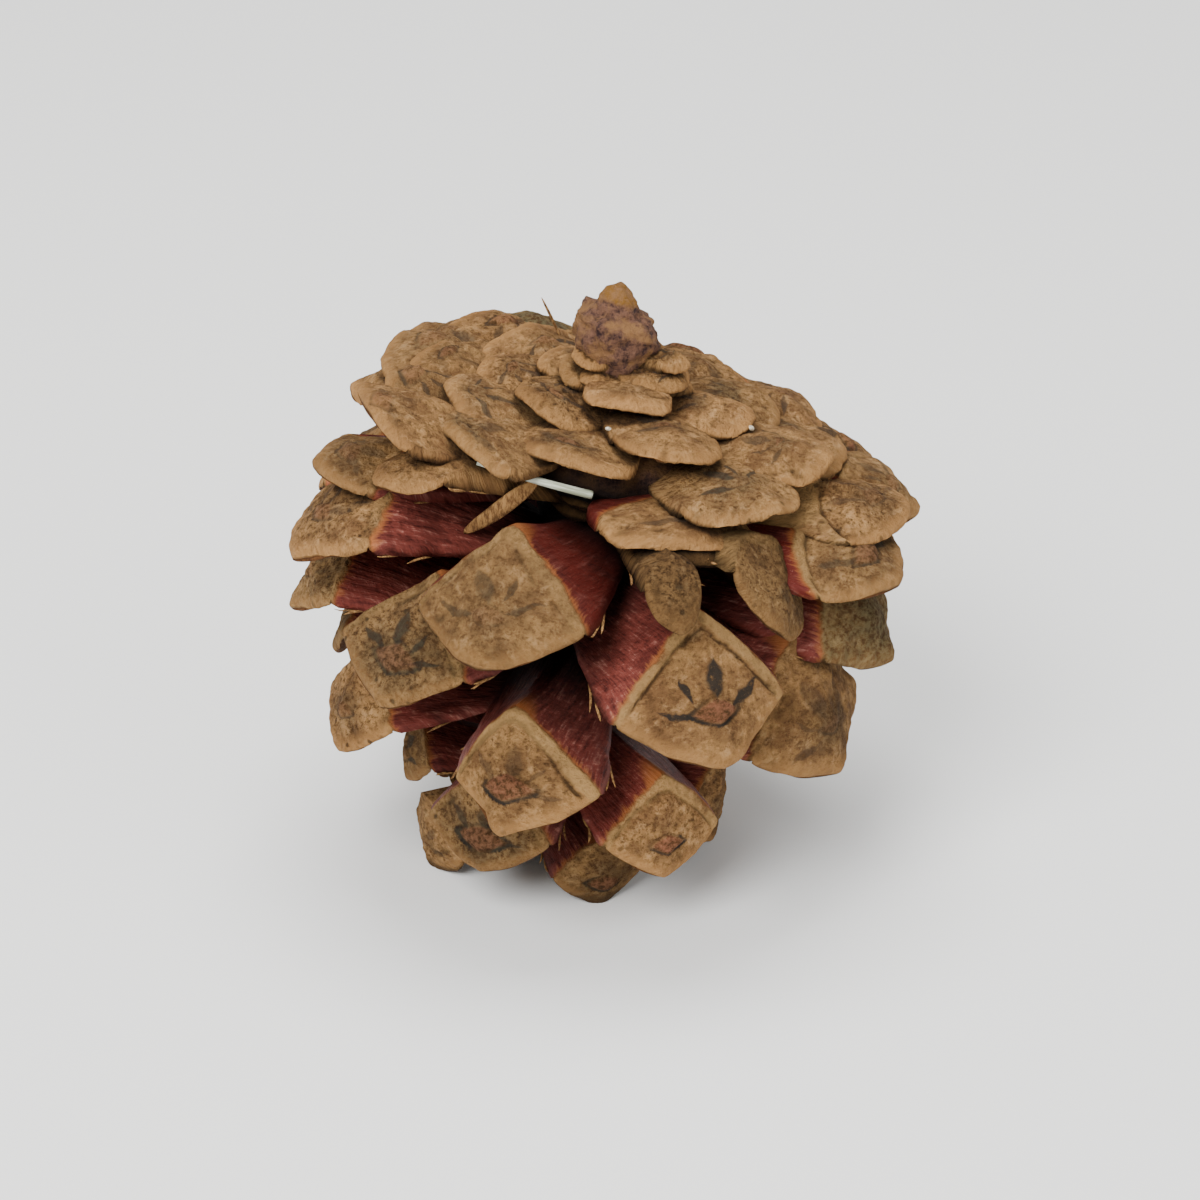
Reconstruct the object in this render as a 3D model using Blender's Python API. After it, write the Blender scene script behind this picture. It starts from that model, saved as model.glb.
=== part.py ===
"""An open pine cone standing on the scales round its tip, with the broken stalk on top, and a dry
needle bit caught under its rim. Metres, +Z up. The origin is on the ground under the middle of it."""

import math

import bpy
import bmesh
import numpy as np
from mathutils import Matrix

MM = 0.001

# The spiral that carries the scales, counted outward from the stalk
SCALE_COUNT = 82
GOLDEN_TURN = 137.508
FIRST_TURN = 322.3
SEED = 11

# How the cone stands: it leans towards +X, and the ground trims the lowest scale tips
LEAN = 10.0
GROUND = -3.0
GROUND_BLOCK = 100.0
AXIS_FOOT = (-7.3, -0.7)

# One column for each place along the spiral, in millimetres and degrees
PLACE = (0, 5, 12, 20, 28, 36, 44, 50, 58, 66, 74, 81)
FACE_RADIUS = (4.0, 7.3, 13.0, 18.2, 23.0, 25.4, 26.8, 27.8, 25.8, 18.1, 10.6, 4.0)
FACE_HEIGHT = (55.0, 53.2, 51.0, 50.0, 47.9, 45.5, 42.0, 36.4, 26.1, 13.0, 6.4, 4.8)
FACE_WIDTH = (5.6, 8.4, 12.6, 14.6, 15.0, 15.2, 16.2, 16.4, 13.6, 12.3, 9.0, 5.0)
FACE_LENGTH = (4.2, 5.6, 8.0, 9.2, 10.2, 12.0, 13.8, 14.6, 11.8, 10.4, 8.4, 5.5)
FACE_TILT = (84.0, 84.0, 83.0, 81.0, 74.0, 62.0, 46.0, 38.0, 30.0, 8.0, -12.0, -60.0)
UPPER_ROUNDNESS = (2.0, 2.0, 1.9, 1.8, 1.6, 1.35, 1.2, 1.15, 1.15, 1.3, 1.5, 1.6)
LOWER_ROUNDNESS = (2.0, 2.0, 2.0, 2.0, 1.9, 1.7, 1.55, 1.5, 1.5, 1.6, 1.7, 1.6)
THICKNESS = (2.0, 2.2, 2.6, 3.0, 3.6, 4.6, 5.6, 5.6, 5.0, 4.4, 3.4, 2.4)
TWIST = (0.0, 0.0, 0.0, 0.0, 2.0, 5.0, 8.0, 8.0, 8.0, 6.0, 4.0, 0.0)
ROOT_RADIUS = (-1.5, 0.5, 4.0, 8.5, 6.0, 2.0, 1.6, 1.6, 1.6, 1.6, 1.4, 0.0)
ROOT_HEIGHT = (53.8, 52.0, 49.8, 47.8, 44.8, 42.5, 40.0, 35.0, 26.0, 15.5, 9.5, 8.0)

# The face of a scale: shares of its length or width, and millimetres for the boss and the lip
ABOVE_BOSS = 0.6
BOSS_RISE = 0.5
CORNER_SETBACK = 0.08
LIP = 1.3
BELLY_LEAD = 0.25

# The root end of a scale, in millimetres and a share of the width
ROOT_HALF_THICKNESS = 1.0
ROOT_HALF_WIDTH = 0.6
ROOT_WIDENING = 0.18
ROOT_SHOULDER = 0.55
ROOT_FLATNESS = 0.8

# The rings between root and face: shares of the way between the points that they lie between
WAIST_OUT = 0.55
WAIST_WIDTH = 0.9
WAIST_SHOULDER = 0.42
WAIST_DROP = 0.3
HALFWAY = 0.5
TOP_SHOULDER = 0.48
TOP_SOLE = 0.65
MIDDLE_DOWN = 0.18
MIDDLE_SOLE = 0.7
EDGE_DOWN = 0.58
EDGE_BACK = 0.3
SKIRT_DOWN = 0.88

# Scales whose blade hardly shows do without the second ring and the two points of their sole
LONG_BLADES = (22, 72)
SHORT_RINGS = [0, 2, 3, 4]
SHORT_POINTS = [0, 1, 2, 3, 4, 6]

# How far one scale may differ from the rule
TURN_SPREAD = 1.5
PLACE_SPREAD = 0.4
TILT_SPREAD = 4.0
TWIST_SPREAD = 4.0
SIZE_SPREAD = 0.05

# Scales that grew or opened out of line: turned, pushed out, lifted, tilted up, twisted, sized
STRAYS = {
    0: (10.0, 0.0, 1.0, 0.0, 0.0, 1.0),
    3: (0.0, 0.0, 1.2, 0.0, 0.0, 1.0),
    8: (-6.0, -0.8, 1.2, 0.0, 0.0, 1.0),
    12: (12.0, 1.0, 0.0, 10.0, 0.0, 1.0),
    13: (8.0, 3.0, 0.8, 0.0, 0.0, 1.0),
    14: (0.0, 0.0, 0.0, 5.0, 0.0, 1.0),
    16: (6.0, 1.0, -2.0, -4.0, 0.0, 1.2),
    17: (8.0, 1.5, -1.0, 12.0, 0.0, 1.0),
    19: (-6.0, 0.6, 1.0, 4.0, 0.0, 1.0),
    21: (-2.0, -1.0, 2.2, 5.0, 0.0, 1.0),
    24: (0.0, -13.0, -4.0, 0.0, 0.0, 0.5),
    25: (0.0, 0.0, 0.5, 18.0, 0.0, 1.0),
    26: (0.0, 3.0, 0.0, 6.0, 0.0, 1.0),
    27: (-7.0, 1.0, 2.6, 9.0, 0.0, 0.95),
    29: (0.0, -4.0, -1.0, 0.0, 0.0, 0.7),
    30: (-8.0, -2.5, 2.0, 16.0, 0.0, 1.0),
    32: (8.0, -17.0, -3.0, -10.0, 0.0, 0.4),
    33: (4.0, 0.0, 1.4, 20.0, 0.0, 1.0),
    34: (4.0, 2.0, 0.0, 12.0, 0.0, 1.0),
    35: (2.0, 0.0, -1.6, 10.0, 0.0, 0.9),
    37: (5.0, 0.0, 0.8, -10.0, 0.0, 0.42),
    38: (-2.0, -3.0, 3.4, 24.0, 0.0, 1.0),
    39: (2.0, 1.0, 3.0, 14.0, 0.0, 0.9),
    40: (-8.0, -3.0, 3.5, 14.0, 10.0, 0.65),
    42: (0.0, -1.0, 1.0, 0.0, -35.0, 0.8),
    43: (-6.0, -4.0, 4.4, 16.0, 0.0, 0.9),
    45: (-4.0, 0.5, -1.2, 0.0, 0.0, 1.0),
    46: (-2.0, 1.5, 6.0, 26.0, 0.0, 1.0),
    47: (-2.0, 0.8, -0.8, 0.0, 0.0, 0.95),
    48: (-2.0, -0.4, 1.0, 4.0, 0.0, 1.0),
    50: (6.0, 1.0, -1.6, 0.0, 2.0, 1.0),
    53: (-5.0, 0.8, 0.0, 0.0, 0.0, 1.0),
    55: (3.0, 2.2, 0.0, 0.0, 0.0, 1.15),
    56: (0.0, -1.0, 0.8, 0.0, 0.0, 1.0),
    58: (-4.0, 0.8, -2.8, 0.0, 0.0, 1.0),
    61: (-4.0, 1.4, -0.6, 0.0, 0.0, 1.0),
    63: (2.0, 1.0, -2.4, 0.0, 0.0, 0.95),
    64: (-2.0, 3.0, 4.8, 0.0, 0.0, 1.0),
    65: (0.0, -1.0, -4.9, 0.0, 0.0, 1.0),
    66: (3.0, 0.2, -1.2, 0.0, 0.0, 1.0),
    68: (7.0, 1.2, 1.4, 0.0, 0.0, 1.0),
    69: (0.0, -0.8, 1.8, 0.0, 0.0, 0.85),
    70: (0.0, 0.0, -1.2, 0.0, 0.0, 1.0),
    71: (16.0, 1.2, -1.7, 0.0, 0.0, 0.9),
    74: (-18.0, 2.0, -2.4, 0.0, 0.0, 1.0),
}
IN_LINE = (0.0, 0.0, 0.0, 0.0, 0.0, 1.0)

# The woody axis and the stalk, as radius and height in millimetres
AXIS_SIDES = 8
AXIS_PROFILE = (
    (1.2, 2.0),
    (3.0, 6.0),
    (4.2, 16.0),
    (4.6, 34.0),
    (6.0, 42.0),
    (11.5, 46.5),
    (11.0, 49.0),
    (5.5, 52.0),
    (1.8, 53.6),
)
STALK_PROFILE = ((3.0, 48.0), (3.5, 54.0), (3.9, 57.0), (3.7, 59.2), (2.6, 61.0), (1.4, 63.0))
STALK_SHIFT = -2.4
STALK_ROUGHNESS = 0.25

# The dry needle bit, from its end under a rim scale to its broken end in the gap at the front
NEEDLE_HIDDEN_END = (-11.7, -13.4, 47.3)
NEEDLE_BROKEN_END = (-1.1, -13.2, 43.8)
NEEDLE_RADIUS = 0.4
NEEDLE_SAG = 0.15
NEEDLE_POINTS = 7

CONE_COLOUR = (0.44, 0.27, 0.12)
NEEDLE_COLOUR = (0.72, 0.72, 0.60)


def new_material(name, colour, roughness):
    material = bpy.data.materials.new(name)
    material.use_nodes = True
    shader = material.node_tree.nodes["Principled BSDF"]
    shader.inputs["Base Color"].default_value = (*colour, 1.0)
    shader.inputs["Roughness"].default_value = roughness
    shader.inputs["Metallic"].default_value = 0.0
    material.diffuse_color = (*colour, 1.0)
    return material


def new_collection(name):
    collection = bpy.data.collections.new(name)
    bpy.context.scene.collection.children.link(collection)
    return collection


def new_object(name, mesh, collection):
    thing = bpy.data.objects.new(name, mesh)
    collection.objects.link(thing)
    return thing


def along_spiral(values, index):
    return float(np.interp(index, PLACE, values))


def scale_sizes(index, draw):
    """The sizes of one scale: those of its place on the spiral, with a small seeded difference."""
    turn, out, up, tilt, twist, size = draw
    stray = STRAYS.get(index, IN_LINE)
    size = stray[5] * (1.0 + SIZE_SPREAD * size)
    return {
        "turn": FIRST_TURN - GOLDEN_TURN * index + TURN_SPREAD * turn + stray[0],
        "radius": along_spiral(FACE_RADIUS, index) + PLACE_SPREAD * out + stray[1],
        "height": along_spiral(FACE_HEIGHT, index) + PLACE_SPREAD * up + stray[2],
        "width": along_spiral(FACE_WIDTH, index) * size,
        "length": along_spiral(FACE_LENGTH, index) * size,
        "tilt": along_spiral(FACE_TILT, index) + TILT_SPREAD * tilt + stray[3],
        "twist": along_spiral(TWIST, index) + TWIST_SPREAD * twist + stray[4],
        "thickness": along_spiral(THICKNESS, index) * size,
        "upper_roundness": along_spiral(UPPER_ROUNDNESS, index),
        "lower_roundness": along_spiral(LOWER_ROUNDNESS, index),
        "root_radius": along_spiral(ROOT_RADIUS, index),
        "root_height": along_spiral(ROOT_HEIGHT, index),
        "long_blade": LONG_BLADES[0] <= index <= LONG_BLADES[1],
    }


def outline_width(share, roundness):
    """How wide the face still is at a share of the way from its widest line to its end."""
    return (1.0 - share**roundness) ** (1.0 / roundness)


def mix(start, end, share):
    """The point at a share of the way from start to end."""
    return (1.0 - share) * start + share * end


def ring(edge, edge_half, shoulder, shoulder_half, keel, sole, base):
    """Eight points: over the top from right to left, with the keel in the middle, and back below."""
    side = np.array([1.0, 0.0, 0.0])
    return [
        edge + edge_half * side,
        shoulder + shoulder_half * side,
        keel,
        shoulder - shoulder_half * side,
        edge - edge_half * side,
        sole - shoulder_half * side,
        base,
        sole + shoulder_half * side,
    ]


def scale_rings(s):
    """Rings of points from the root to the free edge, as (sideways, out, up).

    A blade widens from its root to the side corners of the face. The face has a keel from its top
    corner to the boss and on to its bottom corner, and ends in a thin lip.
    """
    tilt = math.radians(s["tilt"])
    normal = np.array([0.0, math.cos(tilt), math.sin(tilt)])
    upward = np.array([0.0, -math.sin(tilt), math.cos(tilt)])
    half = s["width"] / 2.0
    boss = np.array([0.0, s["radius"], s["height"]])
    top = boss + ABOVE_BOSS * s["length"] * upward
    bottom = boss - (1.0 - ABOVE_BOSS) * s["length"] * upward
    corner = boss - CORNER_SETBACK * s["width"] * normal
    root = np.array([0.0, s["root_radius"], s["root_height"]])
    blade = (top - root) / np.linalg.norm(top - root)
    under = np.array([0.0, blade[2], -blade[1]])
    belly = top + s["thickness"] * (under + BELLY_LEAD * blade)
    lip = bottom - LIP * normal

    root_half = ROOT_WIDENING * s["width"] + ROOT_HALF_WIDTH
    rise = ROOT_HALF_THICKNESS * under
    flat = ROOT_FLATNESS * rise
    shoulder_half = ROOT_SHOULDER * root_half
    rings = [ring(root, root_half, root - flat, shoulder_half, root - rise, root + flat, root + rise)]

    edge = mix(root, corner, WAIST_OUT)
    keel = mix(root, top, HALFWAY) + WAIST_DROP * rise
    base = mix(root, belly, HALFWAY) + WAIST_DROP * rise
    shoulder = mix(edge, keel, HALFWAY)
    sole = mix(edge, base, TOP_SOLE)
    rings.append(ring(edge, WAIST_WIDTH * half, shoulder, WAIST_SHOULDER * half, keel, sole, base))

    shoulder = mix(corner, top, TOP_SHOULDER)
    shoulder_half = half * outline_width(TOP_SHOULDER, s["upper_roundness"])
    sole = mix(corner, belly, TOP_SOLE)
    rings.append(ring(corner, half, shoulder, shoulder_half, top, sole, belly))

    edge = mix(corner, bottom, MIDDLE_DOWN)
    edge_half = half * outline_width(MIDDLE_DOWN, s["lower_roundness"])
    shoulder = mix(corner, boss, HALFWAY)
    base = mix(belly, lip, HALFWAY)
    sole = mix(edge, base, MIDDLE_SOLE)
    rings.append(ring(edge, edge_half, shoulder, HALFWAY * half, boss + BOSS_RISE * normal, sole, base))

    edge = mix(corner, bottom, EDGE_DOWN) - EDGE_BACK * LIP * normal
    edge_half = half * outline_width(EDGE_DOWN, s["lower_roundness"])
    skirt = mix(corner, bottom, SKIRT_DOWN)
    skirt_half = half * outline_width(SKIRT_DOWN, s["lower_roundness"])
    rings.append(ring(edge, edge_half, skirt, skirt_half, bottom, skirt - LIP * normal, lip))

    if s["long_blade"]:
        return np.array(rings)
    return np.array(rings)[SHORT_RINGS][:, SHORT_POINTS]


def place_scale(points, s):
    """Turns the points about the scale's own line by its twist, then round the axis to its place."""
    root = np.array([0.0, s["root_radius"], s["root_height"]])
    line = np.array([0.0, s["radius"], s["height"]]) - root
    twist = np.array(Matrix.Rotation(math.radians(s["twist"]), 3, line.tolist()))
    about = np.array(Matrix.Rotation(math.radians(s["turn"] - 90.0), 3, "Z"))
    return ((points - root) @ twist.T + root) @ about.T


def lofted(rings):
    """Joins rings of equal length with triangles and closes both ends."""
    count, sides = rings.shape[:2]
    points = [tuple(p) for p in rings.reshape(-1, 3) * MM]
    faces = []
    for level in range(count - 1):
        for k in range(sides):
            a = level * sides + k
            b = level * sides + (k + 1) % sides
            faces.append((a, b, b + sides))
            faces.append((a, b + sides, a + sides))
    faces.append(tuple(reversed(range(sides))))
    faces.append(tuple(range((count - 1) * sides, count * sides)))
    mesh = bpy.data.meshes.new("loft")
    mesh.from_pydata(points, [], faces)
    shell = bmesh.new()
    shell.from_mesh(mesh)
    bmesh.ops.triangulate(shell, faces=shell.faces)
    bmesh.ops.recalc_face_normals(shell, faces=shell.faces)
    shell.to_mesh(mesh)
    shell.free()
    return mesh


def turned(profile, sides, offset=0.0, roughness=0.0, rng=None):
    """Rings of a turned shape about the axis, each point moved in or out by a seeded share."""
    angles = np.arange(sides) * 2.0 * math.pi / sides
    rings = []
    for level, (radius, height) in enumerate(profile):
        wobble = 1.0 + roughness * rng.uniform(-1.0, 1.0, sides) if rng else 1.0
        shift = offset * level / len(profile)
        x = radius * wobble * np.cos(angles) + shift
        y = radius * wobble * np.sin(angles)
        rings.append(np.stack([x, y, np.full(sides, height)], axis=1))
    return np.array(rings)


def standing():
    """The cone's own frame into the world: it leans, and the ground is at height zero."""
    lean = Matrix.Rotation(math.radians(LEAN), 4, "Y")
    place = Matrix.Translation((AXIS_FOOT[0] * MM, AXIS_FOOT[1] * MM, GROUND * MM))
    return place @ lean


def largest_shell(mesh):
    """Drops loose scraps and fills sealed hollows by keeping only the outer shell."""
    body = bmesh.new()
    body.from_mesh(mesh)
    seen = set()
    shells = []
    for start in body.faces:
        if start in seen:
            continue
        seen.add(start)
        queue = [start]
        for face in queue:
            for edge in face.edges:
                for other in edge.link_faces:
                    if other not in seen:
                        seen.add(other)
                        queue.append(other)
        shells.append(queue)
    shells.sort(key=len)
    loose = [face for shell in shells[:-1] for face in shell]
    bmesh.ops.delete(body, geom=loose, context="FACES")
    body.to_mesh(mesh)
    body.free()


def combine(thing, operation, others):
    """Joins all objects of a collection to one, or cuts them from it, and removes them."""
    join = thing.modifiers.new("combine", "BOOLEAN")
    join.operation = operation
    join.solver = "MANIFOLD"
    join.operand_type = "COLLECTION"
    join.collection = others
    mesh = bpy.data.meshes.new_from_object(thing.evaluated_get(bpy.context.evaluated_depsgraph_get()))
    thing.modifiers.clear()
    thing.data = mesh
    for other in list(others.objects):
        bpy.data.objects.remove(other)
    bpy.data.collections.remove(others)


def ground_block():
    """A block whose top is the ground, to cut the lowest scale tips flat."""
    block = bmesh.new()
    size = GROUND_BLOCK * MM
    bmesh.ops.create_cube(block, size=size, matrix=Matrix.Translation((0.0, 0.0, -size / 2.0)))
    mesh = bpy.data.meshes.new("ground_block")
    block.to_mesh(mesh)
    block.free()
    return mesh


def build_cone(collection):
    rng = np.random.default_rng(SEED)
    draws = rng.uniform(-1.0, 1.0, (SCALE_COUNT, 6))
    repeats = new_collection("cone_repeats")
    for index in range(SCALE_COUNT):
        sizes = scale_sizes(index, draws[index])
        new_object(f"scale_{index}", lofted(place_scale(scale_rings(sizes), sizes)), repeats)
    stalk = turned(STALK_PROFILE, AXIS_SIDES, STALK_SHIFT, STALK_ROUGHNESS, rng)
    new_object("stalk", lofted(stalk), repeats)
    cone = new_object("cone", lofted(turned(AXIS_PROFILE, AXIS_SIDES)), collection)
    combine(cone, "UNION", repeats)
    largest_shell(cone.data)
    cone.data.transform(standing())
    cutters = new_collection("cone_cutters")
    new_object("ground_block", ground_block(), cutters)
    combine(cone, "DIFFERENCE", cutters)
    largest_shell(cone.data)
    cone.data.materials.clear()
    cone.data.materials.append(new_material("dry_cone_wood", CONE_COLOUR, 0.75))
    return cone


def build_needle(collection):
    """A thin rod that sags a little between its ends and is narrower at the hidden one."""
    curve = bpy.data.curves.new("needle_bit", "CURVE")
    curve.dimensions = "3D"
    curve.bevel_depth = NEEDLE_RADIUS * MM
    curve.bevel_resolution = 2
    curve.use_fill_caps = True
    spline = curve.splines.new("POLY")
    spline.points.add(NEEDLE_POINTS - 1)
    ends = np.array([NEEDLE_HIDDEN_END, NEEDLE_BROKEN_END])
    for point, share in zip(spline.points, np.linspace(0.0, 1.0, NEEDLE_POINTS)):
        place = ends[0] + share * (ends[1] - ends[0])
        place[2] -= 4.0 * NEEDLE_SAG * share * (1.0 - share)
        point.co = (*(place * MM), 1.0)
        point.radius = 0.8 + 0.2 * share
    curve.materials.append(new_material("dry_needle", NEEDLE_COLOUR, 0.5))
    return new_object("needle_bit", curve, collection)


def main():
    for thing in list(bpy.data.objects):
        bpy.data.objects.remove(thing)
    collection = new_collection("pine_cone")
    build_cone(collection)
    build_needle(collection)


main()
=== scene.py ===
"""An open dry pine cone: corky scale faces, red-brown blades behind them, the broken stalk on top and a
pale needle bit caught under the rim, with splinters, a loose sliver, a bristle and resin drops.

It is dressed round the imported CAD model, in metres, +Z up. Tables are in millimetres and degrees unless
they say otherwise."""

from functools import partial
import math

import bpy
import numpy as np
from mathutils import Matrix, Vector


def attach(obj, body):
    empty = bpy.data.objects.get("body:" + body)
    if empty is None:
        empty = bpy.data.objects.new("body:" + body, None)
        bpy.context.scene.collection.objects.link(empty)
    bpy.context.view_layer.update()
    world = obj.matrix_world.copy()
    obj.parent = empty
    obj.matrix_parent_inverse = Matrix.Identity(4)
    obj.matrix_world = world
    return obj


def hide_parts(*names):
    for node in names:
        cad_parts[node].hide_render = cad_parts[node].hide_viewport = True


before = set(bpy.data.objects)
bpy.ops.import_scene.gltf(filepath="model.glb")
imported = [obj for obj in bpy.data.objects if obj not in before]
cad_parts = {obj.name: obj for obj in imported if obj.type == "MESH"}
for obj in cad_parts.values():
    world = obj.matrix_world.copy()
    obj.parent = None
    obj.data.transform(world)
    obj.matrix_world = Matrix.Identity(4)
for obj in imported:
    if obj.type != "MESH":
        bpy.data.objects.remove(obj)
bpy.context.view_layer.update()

bl_info = {
    "name": "Pine cone",
    "version": (1, 0, 0),
    "blender": (4, 5, 0),
    "location": "View3D > Sidebar > Pine Cone",
    "description": "Builds an open dry pine cone and the studio round it",
    "category": "Add Mesh",
}

MM = 0.001
BODY = "root"

# The spiral that carries the scales, counted outward from the stalk
SCALE_COUNT = 82
GOLDEN_TURN = 137.508
FIRST_TURN = 322.3
SEED = 11

# How the cone stands in the world: its lean, then where its own origin comes to lie, upward and across
LEAN = 10.0
GROUND = -3.0
AXIS_FOOT = (-7.3, -0.7)

# One column for each place along the spiral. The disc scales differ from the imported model's: thinner, up
# to 1.4 mm wider, and tilted 4 to 10 degrees further, so that their outer edge rises and gaps part them
PLACE = (0, 5, 12, 20, 28, 36, 44, 50, 58, 66, 74, 81)
FACE_RADIUS = (4.0, 7.3, 13.0, 18.2, 23.0, 25.4, 26.8, 27.8, 25.8, 18.1, 10.6, 4.0)
FACE_HEIGHT = (55.0, 53.2, 51.0, 50.0, 47.9, 45.5, 42.0, 36.4, 26.1, 13.0, 6.4, 4.8)
FACE_WIDTH = (6.6, 9.8, 12.8, 15.0, 15.4, 15.2, 16.2, 16.4, 13.6, 12.3, 9.0, 5.0)
FACE_LENGTH = (4.2, 5.6, 8.0, 9.2, 10.2, 12.0, 13.8, 14.6, 11.8, 10.4, 8.4, 5.5)
BELOW_BOSS = (2.0, 3.2, 3.9, 4.0, 4.1, 4.8, 5.5, 5.8, 4.7, 4.2, 3.4, 2.2)
FACE_TILT = (88.0, 92.0, 93.0, 89.0, 78.0, 62.0, 46.0, 38.0, 30.0, 8.0, -12.0, -60.0)
UPPER_ROUNDNESS = (2.0, 2.0, 1.9, 1.8, 1.6, 1.35, 1.2, 1.15, 1.15, 1.3, 1.5, 1.6)
LOWER_ROUNDNESS = (2.0, 2.0, 2.0, 2.0, 1.9, 1.7, 1.55, 1.5, 1.5, 1.6, 1.7, 1.6)
THICKNESS = (1.2, 1.2, 1.3, 1.6, 2.4, 4.2, 5.6, 5.6, 5.0, 4.4, 3.4, 2.4)
TWIST = (0.0, 0.0, 0.0, 0.0, 2.0, 5.0, 8.0, 8.0, 8.0, 6.0, 4.0, 0.0)
ROOT_RADIUS = (-1.5, 0.5, 4.0, 8.5, 6.0, 2.0, 1.6, 1.6, 1.6, 1.6, 1.4, 0.0)
ROOT_HEIGHT = (53.8, 52.0, 49.8, 47.8, 44.8, 42.5, 40.0, 35.0, 26.0, 15.5, 9.5, 8.0)

# What every scale shares, as shares of its face or in millimetres. The lip is for a short and a long scale
ABOVE_BOSS = 0.6
CORNER_SETBACK = 0.08
LIP = (1.0, 1.3)
BELLY_LEAD = 0.25
BELLY_DEPTH = 1.8
ROOT_HALF_THICKNESS = 1.0
ROOT_HALF_WIDTH = 0.6
ROOT_WIDENING = 0.18

# How far one scale may differ from the rule
TURN_SPREAD = 1.5
PLACE_SPREAD = 0.4
TILT_SPREAD = 4.0
TWIST_SPREAD = 4.0
SIZE_SPREAD = 0.05

# How far some faces run down from the boss, as a share of the rule's length
LONG_BELOW = {
    5: 1.9, 8: 1.9, 10: 1.5, 11: 0.85, 13: 1.5, 14: 0.8, 16: 1.15, 17: 0.8, 18: 1.4, 19: 0.5, 21: 1.45,
    22: 0.8, 27: 0.5, 37: 2.6,
}

# How far one face runs up from the boss, as a share of the rule's length, and how much lower its root sits
SHORT_ABOVE = {16: 0.74}
SUNK_ROOT = {16: 5.0}

# Scales that grew or opened out of line: turned, pushed out, lifted, tilted up, twisted, sized
STRAYS = {
    0: (10.0, 0.0, 1.0, 0.0, 0.0, 1.0),
    3: (0.0, 0.0, 1.2, 0.0, 0.0, 1.0),
    8: (-6.0, -0.8, 1.2, 0.0, 0.0, 1.0),
    12: (12.0, 1.0, 0.0, 10.0, 0.0, 1.0),
    13: (8.0, 2.0, 1.2, 0.0, 0.0, 0.95),
    14: (0.0, 0.0, 0.7, 5.0, 0.0, 0.95),
    16: (7.5, 1.0, -2.0, -6.0, 0.0, 1.1),
    17: (8.0, 1.5, -0.5, 12.0, 0.0, 0.95),
    19: (-14.0, 0.6, 1.0, 4.0, 0.0, 1.0),
    21: (-4.0, -1.4, 1.4, 3.0, 0.0, 0.93),
    24: (0.0, -13.0, -4.0, 0.0, 0.0, 0.5),
    25: (0.0, 0.0, 0.5, 18.0, 0.0, 1.0),
    26: (0.0, 3.0, 0.0, 6.0, 0.0, 1.0),
    27: (-8.0, 1.4, 3.0, 9.0, 0.0, 0.84),
    29: (0.0, -4.0, -1.0, 0.0, 0.0, 0.7),
    30: (-8.0, -2.5, 2.0, 16.0, 0.0, 1.0),
    32: (8.0, -17.0, -3.0, -10.0, 0.0, 0.4),
    33: (4.0, 0.0, 1.4, 20.0, 0.0, 1.0),
    34: (4.0, 2.0, 0.0, 12.0, 0.0, 1.0),
    35: (2.0, 0.0, -1.6, 10.0, 0.0, 0.9),
    37: (10.0, 0.0, 0.4, -16.0, 0.0, 0.35),
    38: (-2.0, -3.0, 3.4, 24.0, 0.0, 1.0),
    39: (2.0, 1.0, 3.0, 14.0, 0.0, 0.9),
    40: (-8.0, -3.0, 3.5, 14.0, 10.0, 0.65),
    42: (1.0, -1.0, 0.6, 0.0, -40.0, 0.72),
    43: (-6.0, -4.0, 4.4, 16.0, 0.0, 0.9),
    45: (-4.0, 0.5, -1.2, 0.0, 0.0, 1.0),
    46: (-2.0, 1.5, 6.0, 26.0, 0.0, 1.0),
    47: (-2.0, 0.8, -0.8, 0.0, 0.0, 0.95),
    48: (-2.0, -0.4, 1.0, 4.0, 0.0, 1.0),
    50: (6.0, 1.0, -1.6, 0.0, 2.0, 1.0),
    53: (-5.0, 0.8, 0.0, 0.0, 0.0, 1.0),
    55: (3.0, 2.2, 0.0, 0.0, 0.0, 1.15),
    56: (0.0, -1.0, 0.8, 0.0, 0.0, 1.0),
    58: (-4.0, 0.8, -2.8, 0.0, 0.0, 1.0),
    61: (-4.0, 1.4, -0.6, 0.0, 0.0, 1.0),
    63: (2.0, 1.0, -2.4, 0.0, 0.0, 0.95),
    64: (-2.0, 3.0, 4.8, 0.0, 0.0, 1.0),
    65: (0.0, -1.0, -4.9, 0.0, 0.0, 1.0),
    66: (3.0, 0.2, -1.2, 0.0, 0.0, 1.0),
    68: (7.0, 1.2, 1.4, 0.0, 0.0, 1.0),
    69: (0.0, -0.8, 1.8, 0.0, 0.0, 0.85),
    70: (0.0, 0.0, -1.2, 0.0, 0.0, 1.0),
    71: (16.0, 1.2, -1.7, 0.0, 0.0, 0.9),
    74: (-18.0, 2.0, -2.4, 0.0, 0.0, 1.0),
}
IN_LINE = (0.0, 0.0, 0.0, 0.0, 0.0, 1.0)

# Bracts at the foot of the stalk go on inward from the first scale. Each step inward takes these away:
# from the radius and the height, and as a share of the size that the rule gives
BRACT_STEP = (0.0, -0.28)
BRACT_SHRINK = 0.05

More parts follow.
